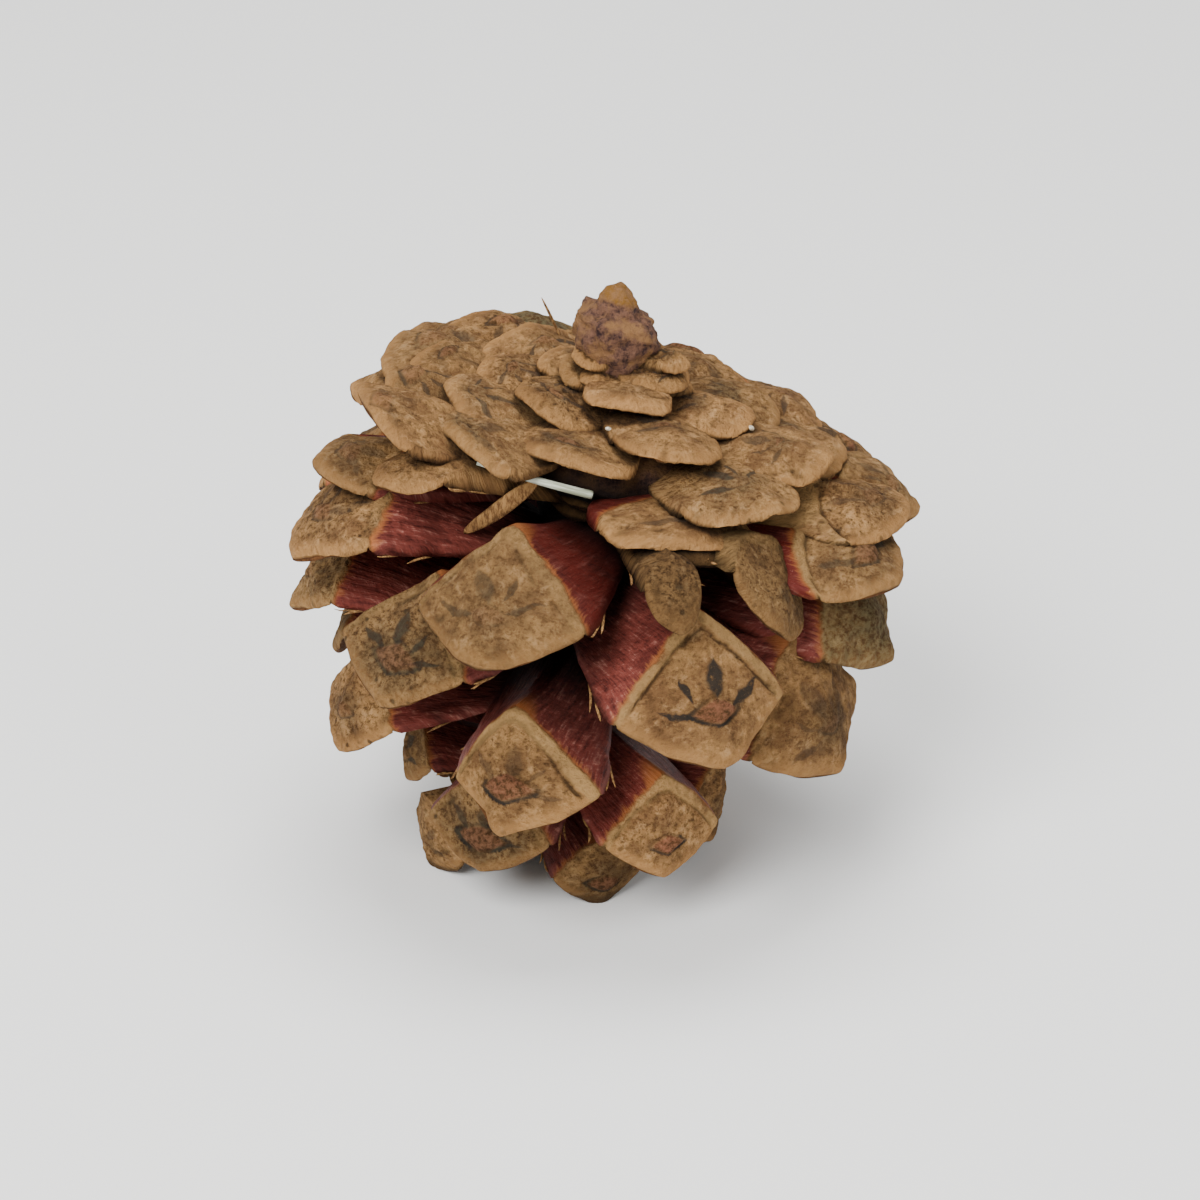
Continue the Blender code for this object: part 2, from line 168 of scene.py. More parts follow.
# The woody axis, then the stalk with its barky body, ledge and crumbly tip, as radius and height. Then
# how far the tip stands aside, the rings, sides and roughness of each, the share of its size that the
# stalk's last ring keeps, and the crags: their depth, the height where they start and where they are full
AXIS_PROFILE = (
    (1.2, 2.0),
    (3.0, 6.0),
    (4.2, 16.0),
    (4.6, 34.0),
    (6.0, 42.0),
    (11.5, 46.5),
    (11.0, 49.0),
    (5.5, 52.0),
    (1.8, 53.6),
)
STALK_LOOK = (
    (3.1, 48.0),
    (3.4, 54.0),
    (3.7, 57.0),
    (3.9, 59.0),
    (3.5, 60.2),
    (2.0, 60.7),
    (1.7, 61.8),
    (0.9, 62.8),
)
STALK_SHIFT = -2.4
STALK_RINGS, STALK_SIDES, STALK_ROUGH = 70, 72, 0.20
STALK_TIP = 0.35
STALK_CRAGS = (0.55, 57.5, 60.5)
AXIS_RINGS, AXIS_SIDES, AXIS_ROUGH = 60, 32, 0.08
STALK_SEED, CRAG_SEED, AXIS_SEED = 31, 37, 41

# The dry needle bit, from its end under a rim scale to its broken end in the gap at the front
NEEDLE_HIDDEN_END = (-11.7, -13.4, 47.3)
NEEDLE_BROKEN_END = (-1.1, -13.2, 43.8)
NEEDLE_RADIUS = 0.4
NEEDLE_SAG = 0.15
NEEDLE_RINGS, NEEDLE_SIDES = 40, 16
NEEDLE_TAPER = 0.2

# Splinters on the side edges of the bare blades: how many a side, and rings and sides of each. Then, from
# least to most, the radius, where one starts along the edge and how far it runs as shares of it, how far
# its tip stands off sideways, and how far its tip rises. Last, how far it starts inside the edge
SPLINTERS_A_SIDE = 2
SPLINTER_RINGS = 6
SPLINTER_SIDES = 4
SPLINTER_RADIUS = (0.08, 0.15)
SPLINTER_START = (0.62, 0.85)
SPLINTER_RUN = (0.10, 0.20)
SPLINTER_PEEL = (0.1, 0.8)
SPLINTER_RISE = (-0.5, 0.3)
SPLINTER_SUNK = 0.08

# Loose bits: path in millimetres in the world, half width across the view, half depth along it
BIT_RINGS = 24
BIT_SIDES = 10
BARK_BITS = (
    (((-6.2, -13.1, 45.2), (-7.9, -12.9, 43.7), (-10.3, -12.3, 41.4), (-13.1, -11.6, 39.1)), 0.86, 0.16),
    (((-4.2, 13.5, 48.2), (-5.0, 12.9, 50.4), (-6.0, 12.0, 53.0)), 0.14, 0.14),
)
RESIN_BITS = (
    (((13.6, -3.9, 46.5), (14.2, -3.9, 46.2)), 0.24, 0.24),
    (((0.1, -9.7, 49.0), (0.7, -9.9, 48.95)), 0.20, 0.20),
)

# Soft lamps as place in metres, width and power, and the light of the room
LAMPS = (
    ("key", (-0.30, -0.60, 0.65), 0.5, 12.0),
    ("fill", (0.7, -0.5, 0.4), 0.8, 3.0),
    ("top", (0.0, 0.1, 0.9), 0.6, 7.0),
)
WORLD_COLOUR = "#ffffff"
WORLD_STRENGTH = 0.55

# The camera: degrees above the horizon, the height aimed at in millimetres, metres away, lens, sensor,
# nearest distance drawn in metres, and framing
CAMERA_ELEVATION = 26.8
CAMERA_AIM = 32.0
CAMERA_DISTANCE = 0.4
CAMERA_LENS = 123.69
CAMERA_SENSOR = 36.0
CAMERA_NEAR = 0.01
CAMERA_SHIFT = (0.01225, -0.01542)

# Half the width of the floor, and the point that the lamps face, in metres
FLOOR_REACH = 3.0
LAMPS_FACE = (0.0, 0.0, 0.03)

# Which scales make up each piece; rows on the blade, rows on the face, and columns of each kind; and
# which scales have long blades
GROUPS = {
    "collar_scales": (-9, -1),
    "disc_scales": (0, 21),
    "rim_scales": (22, 35),
    "shoulder_scales": (36, 49),
    "side_scales": (50, 63),
    "tip_scales": (64, 81),
}
SHORT_GRID = (8, 34, 41)
LONG_GRID = (22, 50, 45)
LONG_BLADES = (22, 72)

# Relief on a face 15 mm wide, in millimetres unless it says share
USUAL_WIDTH = 15.0
PEAK_RISE = 0.9
KEEL_RISE = 0.30
KEEL_WIDTH = 0.55
RIDGE_SOFTNESS = 0.35
RIM_RISE = 0.16
GROOVE_DEPTH = 0.26
GROOVE_WIDTH = 0.20
UMBO_RISE = 0.34
UMBO_DITCH = 0.22
WRINKLE_DEPTH = 0.18
LUMP_HEIGHT = 0.26
KNOB_HEIGHT = 0.17
GRAIN_HEIGHT = 0.08
LIP_DROP = 0.9
EDGE_SHARE = 0.62

# Powers of the outline: what a long face's lower edge loses, and those of a plain face
SHARPER_CORNERS = 0.35
TONGUE_ROUNDNESS = (2.8, 2.3)

# How far the crevice shading looks, in metres
CREVICE = 2.4 * MM

# How a scale looks unless it is named below, and the seeded spread of each: shares from 0 to 1, but the
# umbo is a size, the lean a share of half the width, and the brightness is above or below zero; its seeded
# spread is a tone that differs at random. The random draws follow the order and the number of the keys of
# LOOK_SPREAD
DISC_LOOK = {
    "cover": 1.0, "tint": 0.25, "rim": 0.0, "umbo": 0.75, "slate": 0.55, "pepper": 0.55, "grey": 0.75,
    "green": 0.0, "red": 0.0, "plain": 0.0, "lean": 0.0, "tone_and_shade": 0.0,
}
LONG_LOOK = {
    "cover": 0.0, "tint": 0.45, "rim": 0.45, "umbo": 0.9, "slate": 0.45, "pepper": 0.45, "grey": 0.35,
    "green": 0.0, "red": 0.1, "plain": 0.0, "lean": 0.0, "tone_and_shade": 0.0,
}
LOOK_SPREAD = {
    "cover": 0.0, "tint": 0.3, "rim": 0.3, "umbo": 0.2, "slate": 0.4, "pepper": 0.4, "grey": 0.25,
    "green": 0.25, "red": 0.3, "plain": 0.0, "lean": 0.12, "tone_and_shade": 0.35,
}
# A scale's own look. Where one sets its brightness below zero, that darkening is painted shade: 24, 29 and 32
# sit deep inside and are painted nearly black, and the others are darkened to the shade they stand in
OWN_LOOKS = {
    16: {
        "cover": 0.0, "red": 0.8, "rim": 0.0, "umbo": 0.8, "slate": 0.6, "pepper": 0.2, "grey": 0.3,
        "lean": -0.3,
    },
    18: {"rim": 0.0, "slate": 0.5, "pepper": 0.5},
    24: {"tone_and_shade": -2.0},
    29: {"tone_and_shade": -2.0},
    32: {"tone_and_shade": -2.0},
    19: {"rim": 0.0, "slate": 0.5, "pepper": 0.3},
    26: {"rim": 0.8, "slate": 0.4, "grey": 0.7, "umbo": 0.8},
    33: {"green": 0.9, "rim": 0.0, "grey": 0.9},
    34: {"rim": 0.8, "red": 1.0, "slate": 0.6, "pepper": 0.35, "tone_and_shade": -0.2},
    37: {"plain": 1.0, "rim": 0.0, "umbo": 0.3, "slate": 0.0, "pepper": 0.9, "grey": 1.0, "tone_and_shade": -1.4},
    40: {"plain": 1.0, "rim": 0.0, "umbo": 0.3, "slate": 0.0, "pepper": 0.4, "grey": 0.0, "tone_and_shade": -0.2},
    42: {"plain": 1.0, "rim": 0.4, "umbo": 0.3, "slate": 0.0, "pepper": 0.6, "grey": 0.8, "tone_and_shade": -0.9},
    45: {
        "rim": 0.45, "umbo": 0.7, "slate": 0.6, "pepper": 0.15, "grey": 0.2, "red": 0.9, "lean": 0.08,
        "tone_and_shade": -0.65,
    },
    47: {"green": 0.85, "rim": 0.2, "slate": 0.3, "grey": 0.9, "tone_and_shade": -0.4},
    48: {"rim": 0.3, "slate": 0.5, "pepper": 0.9, "grey": 0.6},
    50: {"tint": 1.0, "rim": 0.95, "umbo": 0.85, "slate": 1.0, "pepper": 0.35, "grey": 0.15, "lean": -0.1},
    53: {"rim": 0.5, "umbo": 1.1, "slate": 0.9, "pepper": 1.0, "grey": 0.8, "tone_and_shade": -0.5},
    55: {"rim": 0.1, "umbo": 0.6, "slate": 0.4, "pepper": 0.3, "grey": 1.0, "tone_and_shade": -0.6},
    56: {"green": 0.4, "pepper": 0.8, "rim": 0.2},
    58: {"tint": 1.0, "rim": 1.0, "umbo": 1.15, "slate": 0.4, "pepper": 0.5, "grey": 0.1, "lean": 0.28},
    61: {"pepper": 1.0, "grey": 0.8, "rim": 0.2},
    63: {"tint": 1.0, "rim": 0.8, "umbo": 0.9, "slate": 0.1, "pepper": 0.7, "grey": 0.3},
    64: {"green": 0.5, "rim": 0.2},
    66: {"tint": 1.0, "rim": 0.3, "umbo": 1.3, "slate": 0.7, "pepper": 1.0, "grey": 0.8, "tone_and_shade": -0.5},
    71: {"tint": 1.0, "rim": 0.1, "umbo": 1.2, "slate": 0.1, "pepper": 0.6, "grey": 0.5, "tone_and_shade": -0.6},
}

# From this scale on the red-brown blades show
FIRST_BARE_BLADE = 34

# Slate streaks round the umbo: middle, turn from straight up in radians, half length and half width
STREAKS = (
    (-3.0, 1.1, -1.0, 1.9, 0.42),
    (-0.2, 2.7, -0.2, 1.7, 0.75),
    (2.0, 2.1, 0.4, 1.2, 0.26),
    (3.1, 0.4, 1.25, 1.5, 0.26),
)


def linear(hex_colour):
    """An sRGB hex colour as linear red, green, blue and alpha."""
    parts = [int(hex_colour[i : i + 2], 16) / 255.0 for i in (1, 3, 5)]
    return (*[c / 12.92 if c <= 0.04045 else ((c + 0.055) / 1.055) ** 2.4 for c in parts], 1.0)


def smooth(value, low, high):
    """0 below low, 1 above high, and an S-curve between them."""
    share = np.clip((value - low) / (high - low), 0.0, 1.0)
    return share * share * (3.0 - 2.0 * share)


def noise(points, seed):
    """Value noise from -1 to 1: seeded draws on a lattice of cells one unit wide, blended by S-curves."""
    table = np.random.default_rng(seed).uniform(-1.0, 1.0, 4096)
    cell = np.floor(points).astype(np.int64)
    part = points - cell
    part = part * part * (3.0 - 2.0 * part)
    total = 0.0
    for corner in range(8):
        step = np.array([corner & 1, (corner >> 1) & 1, corner >> 2])
        x, y, z = np.moveaxis(cell + step, -1, 0)
        weight = np.prod(np.where(step, part, 1.0 - part), axis=-1)
        total = total + weight * table[(x * 73856093 ^ y * 19349663 ^ z * 83492791) & 4095]
    return total


def standing():
    """The cone's own frame into the world, as a 4 by 4 array: it leans, and the ground is at zero."""
    lean = Matrix.Rotation(math.radians(LEAN), 4, "Y")
    return np.array(Matrix.Translation((AXIS_FOOT[0] * MM, AXIS_FOOT[1] * MM, GROUND * MM)) @ lean)


def to_world(points):
    """Millimetres in the cone's frame to metres in the world, with nothing below the ground."""
    place = standing()
    world = points * MM @ place[:3, :3].T + place[:3, 3]
    world[..., 2] = np.maximum(world[..., 2], 0.0)
    return world


def scale_draws():
    """Six seeded draws for each scale, the same at every call."""
    return np.random.default_rng(SEED).uniform(-1.0, 1.0, (SCALE_COUNT, 6))


def scale_sizes(index, draw):
    """The sizes of one scale: those of its place on the spiral, with a small seeded difference."""
    turn, out, up, tilt, twist, size = draw
    stray = STRAYS.get(index, IN_LINE)
    size = stray[5] * (1.0 + SIZE_SPREAD * size)

    def along(values):
        return float(np.interp(index, PLACE, values))

    bracts = min(index, 0)
    length = along(FACE_LENGTH) * size * (1.0 + BRACT_SHRINK * bracts)
    return {
        "index": index,
        "turn": FIRST_TURN - GOLDEN_TURN * index + TURN_SPREAD * turn + stray[0],
        "radius": along(FACE_RADIUS) + PLACE_SPREAD * out + stray[1] + BRACT_STEP[0] * bracts,
        "height": along(FACE_HEIGHT) + PLACE_SPREAD * up + stray[2] + BRACT_STEP[1] * bracts,
        "width": along(FACE_WIDTH) * size * (1.0 + BRACT_SHRINK * bracts),
        "above": ABOVE_BOSS * length * SHORT_ABOVE.get(index, 1.0),
        "below": along(BELOW_BOSS) * size * LONG_BELOW.get(index, 1.0),
        "tilt": along(FACE_TILT) + TILT_SPREAD * tilt + stray[3],
        "twist": along(TWIST) + TWIST_SPREAD * twist + stray[4],
        "thickness": along(THICKNESS) * size,
        "upper_roundness": along(UPPER_ROUNDNESS),
        "lower_roundness": along(LOWER_ROUNDNESS),
        "root_radius": along(ROOT_RADIUS),
        "root_height": along(ROOT_HEIGHT) + BRACT_STEP[1] * bracts - SUNK_ROOT.get(index, 0.0),
        "long": float(LONG_BLADES[0] <= index <= LONG_BLADES[1]),
        "seed": 7.13 * index,
    }


def scale_look(index, is_long):
    """The shares that colour one scale: the usual ones, a seeded difference, and what is its own."""
    draws = np.random.default_rng((SEED, index + 100)).uniform(-1.0, 1.0, len(LOOK_SPREAD) + 2)
    usual = LONG_LOOK if is_long else DISC_LOOK
    look = {key: usual[key] + spread * draw for (key, spread), draw in zip(LOOK_SPREAD.items(), draws)}
    if index < FIRST_BARE_BLADE:
        look["cover"], look["rim"] = 1.0, 0.0
    look.update(OWN_LOOKS.get(index, {}))
    shares = [key for key in look if key not in ("lean", "tone_and_shade", "umbo")]
    look.update({key: min(max(look[key], 0.0), 1.0) for key in shares})
    look["streak_turn"] = 0.0 if index == 50 else 0.6 * draws[-2]
    look["streak_side"] = 1.0 if index == 50 or draws[-1] > 0.0 else -1.0
    return look


def umbo_distance(x, y, s):
    """1 on the outline of the umbo, a rhombus with bowed sides, and 0 at its middle."""
    across, along, lift = s["umbo"]
    return (np.abs(x / across) ** 1.25 + np.abs((y - lift) / along) ** 1.25) ** (1.0 / 1.25)


def face_relief(x, y, up, low, s, sizes):
    """Height of the face above its plane and its painted recess shade, at x across and y along it in
    millimetres.

    up and low are the distances to the upper and the lower edge. The face falls back to its side
    corners by a power of x. Four flat facets, whose height falls with the sum of the shares across
    and along, meet in softened ridges at the boss. On them lie a keel, a raised rim with a groove
    inside it, an umbo inside a fine ditch, wrinkles that run out from the umbo, and lumps in three
    sizes. The lower edge falls away by a quarter of an ellipse. Painted shade gathers where the relief is
    low.
    """
    half = s["width"] / 2.0
    size = s["width"] / USUAL_WIDTH
    place = np.stack([x, y, np.full_like(x, s["seed"])], axis=-1)
    warp = 0.5 * noise(place / 3.0, 3)
    bent = x + warp
    across = (np.sqrt(bent**2 + RIDGE_SOFTNESS**2) - RIDGE_SOFTNESS) / half
    lifted = y + 0.5 * warp
    along = np.sqrt(lifted**2 + RIDGE_SOFTNESS**2) - RIDGE_SOFTNESS
    along = along / np.where(lifted > 0.0, s["above"], s["below"])
    height = PEAK_RISE * size * (0.5 + 0.5 * s["long"]) * np.clip(1.0 - across - along, -0.2, 1.0)
    height = height - CORNER_SETBACK * s["width"] * np.abs(x / half) ** 1.4

    keel = np.exp(-((bent / (KEEL_WIDTH * size)) ** 2)) * smooth(y, 0.1, 1.6) * smooth(up, 0.0, 1.2)
    relief = KEEL_RISE * size * keel * s["long"]
    rim = sizes.rim_width / MM * size * (1.0 + 0.4 * noise(place / 3.6, 5)) * (1.0 - 0.4 * x / half)
    rim_share = s["rim"] * (1.0 - smooth(up, 0.6 * rim, rim))
    groove = s["rim"] * np.exp(-(((up - rim) / GROOVE_WIDTH) ** 2)) * smooth(low, 0.3, 1.5)
    relief = relief + RIM_RISE * rim_share - GROOVE_DEPTH * groove
    q = umbo_distance(x, y, s)
    ditch = np.exp(-(((q - 1.08) / 0.20) ** 2))
    has_umbo = s["tint"]
    relief = relief + has_umbo * size * (UMBO_RISE * (1.0 - smooth(q, 0.55, 1.0)) - UMBO_DITCH * ditch)
    angle = np.arctan2(y, x)
    spokes = np.stack([angle * 4.6, 0.22 * q, np.full_like(x, s["seed"])], axis=-1)
    wrinkle = np.minimum(noise(spokes, 7), 0.25) + 0.5 * np.minimum(noise(2.3 * spokes, 8), 0.2)
    wrinkle = wrinkle * smooth(q, 1.1, 2.2) * smooth(low, 0.1, 0.8)
    relief = relief + WRINKLE_DEPTH * wrinkle
    teeth = np.minimum(noise(np.stack([angle * 13.0, 0.12 * q, np.full_like(x, s["seed"])], axis=-1), 9), 0.1)
    teeth = teeth * (1.0 - smooth(low, 1.2, 2.6)) * (1.0 - 0.6 * s["long"])
    seam = np.exp(-(((low - 1.7 - 0.4 * warp) / 0.22) ** 2)) * (1.0 - s["long"])
    seam = seam * smooth(noise(place / 2.2, 10), -0.2, 0.3)
    relief = relief + 0.12 * teeth - 0.10 * seam
    knobs = noise(place / 1.3, 12)
    relief = relief + LUMP_HEIGHT * size * noise(place / 3.2, 11) + KNOB_HEIGHT * size * knobs
    relief = relief + GRAIN_HEIGHT * noise(place / 0.55, 13)
    # Painted shade: strongest in the groove, the ditch and the seam line near a short scale's lower edge,
    # weaker on wrinkles, knobs and teeth
    recess_shade = groove + 0.6 * has_umbo * ditch - 0.30 * wrinkle - 0.35 * knobs + 0.5 * seam - 0.25 * teeth
    recess_shade = np.clip(recess_shade, 0.0, 1.0)
    sharp = 1.0 - 0.4 * s["long"]
    drop = np.clip(1.0 - low / (sharp * sizes.lip_round / MM), 0.0, 1.0)
    return height + sizes.relief * relief - sharp * LIP_DROP * (1.0 - np.sqrt(1.0 - drop**2)), recess_shade


def scale_sheets(s, grid, sizes):
    """Upper and under sheet of a scale as (sideways, out, up), with what the wood shows at each point.

    Both sheets have a row for each share of the way out and a column for each share of the way across.
    The blade is a ruled surface from the root to the upper edge of the face. On the face, a column runs
    from the upper edge, a superellipse, down to the lower edge, and the ends of the rows slide down
    the lower edge. The whole leans sideways by a parabola. The under sheet leaves the side edges by a
    superellipse down to the belly, and meets the upper sheet again all along the lip.
    """
    blade_rows, face_rows, columns = grid
    tilt = math.radians(s["tilt"])
    normal = np.array([math.cos(tilt), math.sin(tilt)])
    upward = np.array([-math.sin(tilt), math.cos(tilt)])
    half, above, below = s["width"] / 2.0, s["above"], s["below"]
    boss = np.array([s["radius"], s["height"]])
    root = np.array([s["root_radius"], s["root_height"]])
    top = boss + above * upward
    length = float(np.linalg.norm(top - root))
    blade = (top - root) / length
    under = np.array([blade[1], -blade[0]])
    belly = top + s["thickness"] * (under + BELLY_LEAD * blade)
    belly = belly - max(0.0, float((belly - boss) @ normal) + BELLY_DEPTH) * normal
    lip = boss - below * upward - LIP[int(s["long"])] * normal

    even = np.linspace(-1.0, 1.0, columns)
    v = 0.62 * even + 0.38 * np.sin(0.5 * math.pi * even)
    t = np.linspace(0.0, 1.0, face_rows)
    t = 0.45 * t + 0.55 * np.sin(0.5 * math.pi * t)
    upper_power = s["upper_roundness"]
    lower_power = s["lower_roundness"] - SHARPER_CORNERS * s["long"]

    def outline(x, power):
        return np.clip(1.0 - np.abs(x / half) ** power, 0.0, 1.0) ** (1.0 / power)

    def wobble(x, step, seed):
        return noise(np.stack([x / step, np.full_like(x, seed), np.full_like(x, s["seed"])], axis=-1), seed)

    slide = EDGE_SHARE * t**1.2
    wide = half * (1.0 - slide**lower_power) ** (1.0 / lower_power)
    x = wide[:, None] * v[None, :]
    y_up = above * outline(x, upper_power) * (1.0 + 0.05 * wobble(x, 2.6, 17) + 0.025 * wobble(x, 0.9, 18))
    y_low = -below * outline(x, lower_power) * (1.0 + 0.09 * wobble(x, 3.4, 19) + 0.03 * wobble(x, 1.1, 20))
    share = t[:, None] + (1.0 - t[:, None]) * np.abs(v[None, :]) ** 6 * np.minimum(1.0, t[:, None] / 0.1)
    y = y_up + share * (y_low - y_up)
    up = (y_up - y) * half / math.hypot(half, above)
    low = (y - y_low) * half / math.hypot(half, below)
    height, recess_shade = face_relief(x, y, up, low, s, sizes)
    face = boss + y[..., None] * upward + height[..., None] * normal
    face = np.concatenate([x[..., None], face], axis=-1)

    root_half = ROOT_WIDENING * s["width"] + ROOT_HALF_WIDTH
    out = np.linspace(0.0, 1.0, blade_rows + 1)[:-1] ** 0.8
    start = root - ROOT_HALF_THICKNESS * np.sqrt(1.0 - v[:, None] ** 2) * under
    ruled = start + out[:, None, None] * (face[0, :, 1:] - start)
    swell = 0.04 * half * np.exp(-(((out - 0.86) / 0.1) ** 2)) * s["long"]
    ragged = 0.03 * half * noise(np.stack([out * 14.0, out * 0.0, out * 0.0 + s["seed"]], axis=-1), 23) * out
    spread = root_half + (half - root_half) * (1.0 - (1.0 - out) ** 2.1) + swell + ragged
    side = spread[:, None] * v[None, :]
    hollow = 0.35 * np.sin(math.pi * out)[:, None] * (1.0 - np.abs(v[None, :])) * s["long"]
    fibre_place = [side / 0.8, out[:, None] * length / 9.0 + 0.0 * side, 0.0 * side + s["seed"]]
    fibre_place = np.stack(fibre_place, axis=-1)
    lift = 0.12 * noise(fibre_place, 29) * smooth(out, 0.05, 0.3)[:, None] - hollow
    ridge = np.exp(-((side / (0.7 * s["width"] / USUAL_WIDTH)) ** 2)) * smooth(out, 0.55, 0.98)[:, None]
    lift = lift + 0.30 * ridge * s["long"]
    edge = np.clip(1.0 - (1.0 - np.abs(v[None, :])) * spread[:, None] / 0.45, 0.0, 1.0)
    lift = lift - 0.35 * (1.0 - np.sqrt(1.0 - edge**2)) * smooth(out, 0.0, 0.1)[:, None]
    fade = 1.0 - smooth(out, 0.97, 1.0)[:, None]
    ruled = ruled - (lift * fade)[..., None] * under
    upper = np.concatenate([np.concatenate([side[..., None], ruled], axis=-1), face])

    thick = root + ROOT_HALF_THICKNESS * under
    middle = np.concatenate([thick + out[:, None] * (belly - thick), belly + t[:, None] * (lip - belly)])
    ends = upper[:, [0, -1], 1:]
    straight = ends[:, :1] + 0.5 * (even[None, :, None] + 1.0) * (ends[:, 1:] - ends[:, :1])
    depth = (1.0 - np.abs(v) ** 1.35) ** (1.0 / 1.35)
    sheet = straight + depth[None, :, None] * (middle[:, None] - straight)
    rounding = np.clip((t - 0.86) / 0.14, 0.0, 1.0)
    rounding = np.concatenate([np.zeros(len(out)), 1.0 - np.sqrt(1.0 - rounding**2)])
    sheet = sheet + rounding[:, None, None] * (upper[-1, :, 1:] - sheet)
    lower = np.concatenate([upper[..., :1], sheet], axis=-1)

    reach = np.concatenate([out, np.ones(face_rows)])[:, None]
    lean = s["lean"] * half * reach**2 * (1.0 - v[None, :] ** 2)
    upper[..., 0] += lean
    lower[..., 0] += lean
    marks = {
        "x": np.concatenate([side, x]),
        "y": np.concatenate([y_up[:1] + (1.0 - out[:, None]) * length, y]),
        "rim": np.concatenate([-(1.0 - out[:, None]) * length + 0.0 * side, up]),
        "low": np.concatenate([9.0 + 0.0 * side, low]),
        "recess_shade": np.concatenate([0.0 * side, recess_shade]),
    }
    return upper, lower, marks


def place_scale(points, s):
    """Turns the points about the scale's own line by its twist, then round the axis to its place."""
    root = np.array([0.0, s["root_radius"], s["root_height"]])
    line = np.array([0.0, s["radius"], s["height"]]) - root
    twist = np.array(Matrix.Rotation(math.radians(s["twist"]), 3, line.tolist()))
    about = np.array(Matrix.Rotation(math.radians(s["turn"] - 90.0), 3, "Z"))
    return ((points - root) @ twist.T + root) @ about.T


def pillow(rows, columns):
    """Quads of two sheets that share their border. The under sheet's own points follow the upper's."""
    upper = np.arange(rows * columns).reshape(rows, columns)
    lower = upper.copy()
    inner = (rows - 2) * (columns - 2)
    lower[1:-1, 1:-1] = rows * columns + np.arange(inner).reshape(rows - 2, columns - 2)

    def quads(g):
        return np.stack([g[:-1, :-1], g[:-1, 1:], g[1:, 1:], g[1:, :-1]], axis=-1).reshape(-1, 4)

    return np.concatenate([quads(upper), quads(lower)[:, ::-1]])


def new_mesh(name, points, quads, attributes=None):
    """A smooth mesh from whole arrays of points and quads, with its attributes on the points."""
    mesh = bpy.data.meshes.new(name)
    mesh.vertices.add(len(points))
    mesh.vertices.foreach_set("co", np.ascontiguousarray(points, np.float32).ravel())
    mesh.loops.add(quads.size)
    mesh.loops.foreach_set("vertex_index", np.ascontiguousarray(quads, np.int32).ravel())
    mesh.polygons.add(len(quads))
    mesh.polygons.foreach_set("loop_start", np.arange(0, quads.size, 4, dtype=np.int32))
    mesh.update(calc_edges=True)
    mesh.validate()
    for key, values in (attributes or {}).items():
        layer = mesh.attributes.new(key, "FLOAT_VECTOR", "POINT")
        layer.data.foreach_set("vector", np.ascontiguousarray(values, np.float32).ravel())
    mesh.shade_smooth()
    return mesh


def new_piece(name, mesh, material, nodes=()):
    """Links the mesh as a piece that rides on the body, gives it its material and hides the CAD nodes that it
    replaces.
    """
    piece = bpy.data.objects.new(name, mesh)
    bpy.context.scene.collection.objects.link(piece)
    mesh.materials.append(material)
    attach(piece, BODY)
    for cad_node in nodes:
        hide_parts(cad_node)
    return piece


# Blender's name of each node used, its settings, the inputs filled in order, and the output read
KINDS = {
    "attribute": ("ShaderNodeAttribute", {}, (), "Vector"),
    "x": ("ShaderNodeSeparateXYZ", {}, (0,), "X"),
    "y": ("ShaderNodeSeparateXYZ", {}, (0,), "Y"),
    "z": ("ShaderNodeSeparateXYZ", {}, (0,), "Z"),
    "openness": ("ShaderNodeAmbientOcclusion", {"samples": 8}, ("Distance",), "AO"),
    "red": ("ShaderNodeSeparateColor", {}, (0,), 0),
    "green": ("ShaderNodeSeparateColor", {}, (0,), 1),
    "vector": ("ShaderNodeCombineXYZ", {}, (0, 1, 2), 0),
    "stretch": ("ShaderNodeVectorMath", {"operation": "MULTIPLY"}, (0, 1), 0),
    "mix": ("ShaderNodeMix", {"data_type": "RGBA"}, (0, 6, 7), 2),
    "blend": ("ShaderNodeMix", {"data_type": "FLOAT"}, (0, 2, 3), 0),
    "plus": ("ShaderNodeMath", {"operation": "ADD"}, (0, 1), 0),
    "minus": ("ShaderNodeMath", {"operation": "SUBTRACT"}, (0, 1), 0),
    "times": ("ShaderNodeMath", {"operation": "MULTIPLY"}, (0, 1), 0),
    "over": ("ShaderNodeMath", {"operation": "DIVIDE"}, (0, 1), 0),
    "plus_times": ("ShaderNodeMath", {"operation": "MULTIPLY_ADD"}, (2, 0, 1), 0),
    "power": ("ShaderNodeMath", {"operation": "POWER"}, (0, 1), 0),
    "larger": ("ShaderNodeMath", {"operation": "MAXIMUM"}, (0, 1), 0),
    "size": ("ShaderNodeMath", {"operation": "ABSOLUTE"}, (0,), 0),
    "angle": ("ShaderNodeMath", {"operation": "ARCTAN2"}, (0, 1), 0),
    "step": ("ShaderNodeMapRange", {"interpolation_type": "SMOOTHSTEP"}, (0, 1, 2), 0),
    "noise": ("ShaderNodeTexNoise", {}, ("Vector", "Scale", "Detail", "Roughness"), 0),
    "noise_colour": ("ShaderNodeTexNoise", {}, ("Vector", "Scale", "Detail"), 1),
    "spots": ("ShaderNodeTexVoronoi", {}, ("Vector", "Scale"), 0),
    "spot_colour": ("ShaderNodeTexVoronoi", {}, ("Vector", "Scale"), 1),
    "shade": ("ShaderNodeHueSaturation", {}, ("Value", "Color"), 0),
    "bump": ("ShaderNodeBump", {}, ("Height", "Distance", "Strength"), 0),
}


def node(tree, kind, *values, **settings):
    """Adds a node of one of the kinds with its values, links and settings, and returns its output."""
    name, fixed, inputs, output = KINDS[kind]
    made = tree.nodes.new(name)
    for key, value in {**fixed, **settings}.items():
        setattr(made, key, value)
    for key, value in zip(inputs, values):
        if isinstance(value, bpy.types.NodeSocket):
            tree.links.new(value, made.inputs[key])
        else:
            made.inputs[key].default_value = value
    return made.outputs[output]


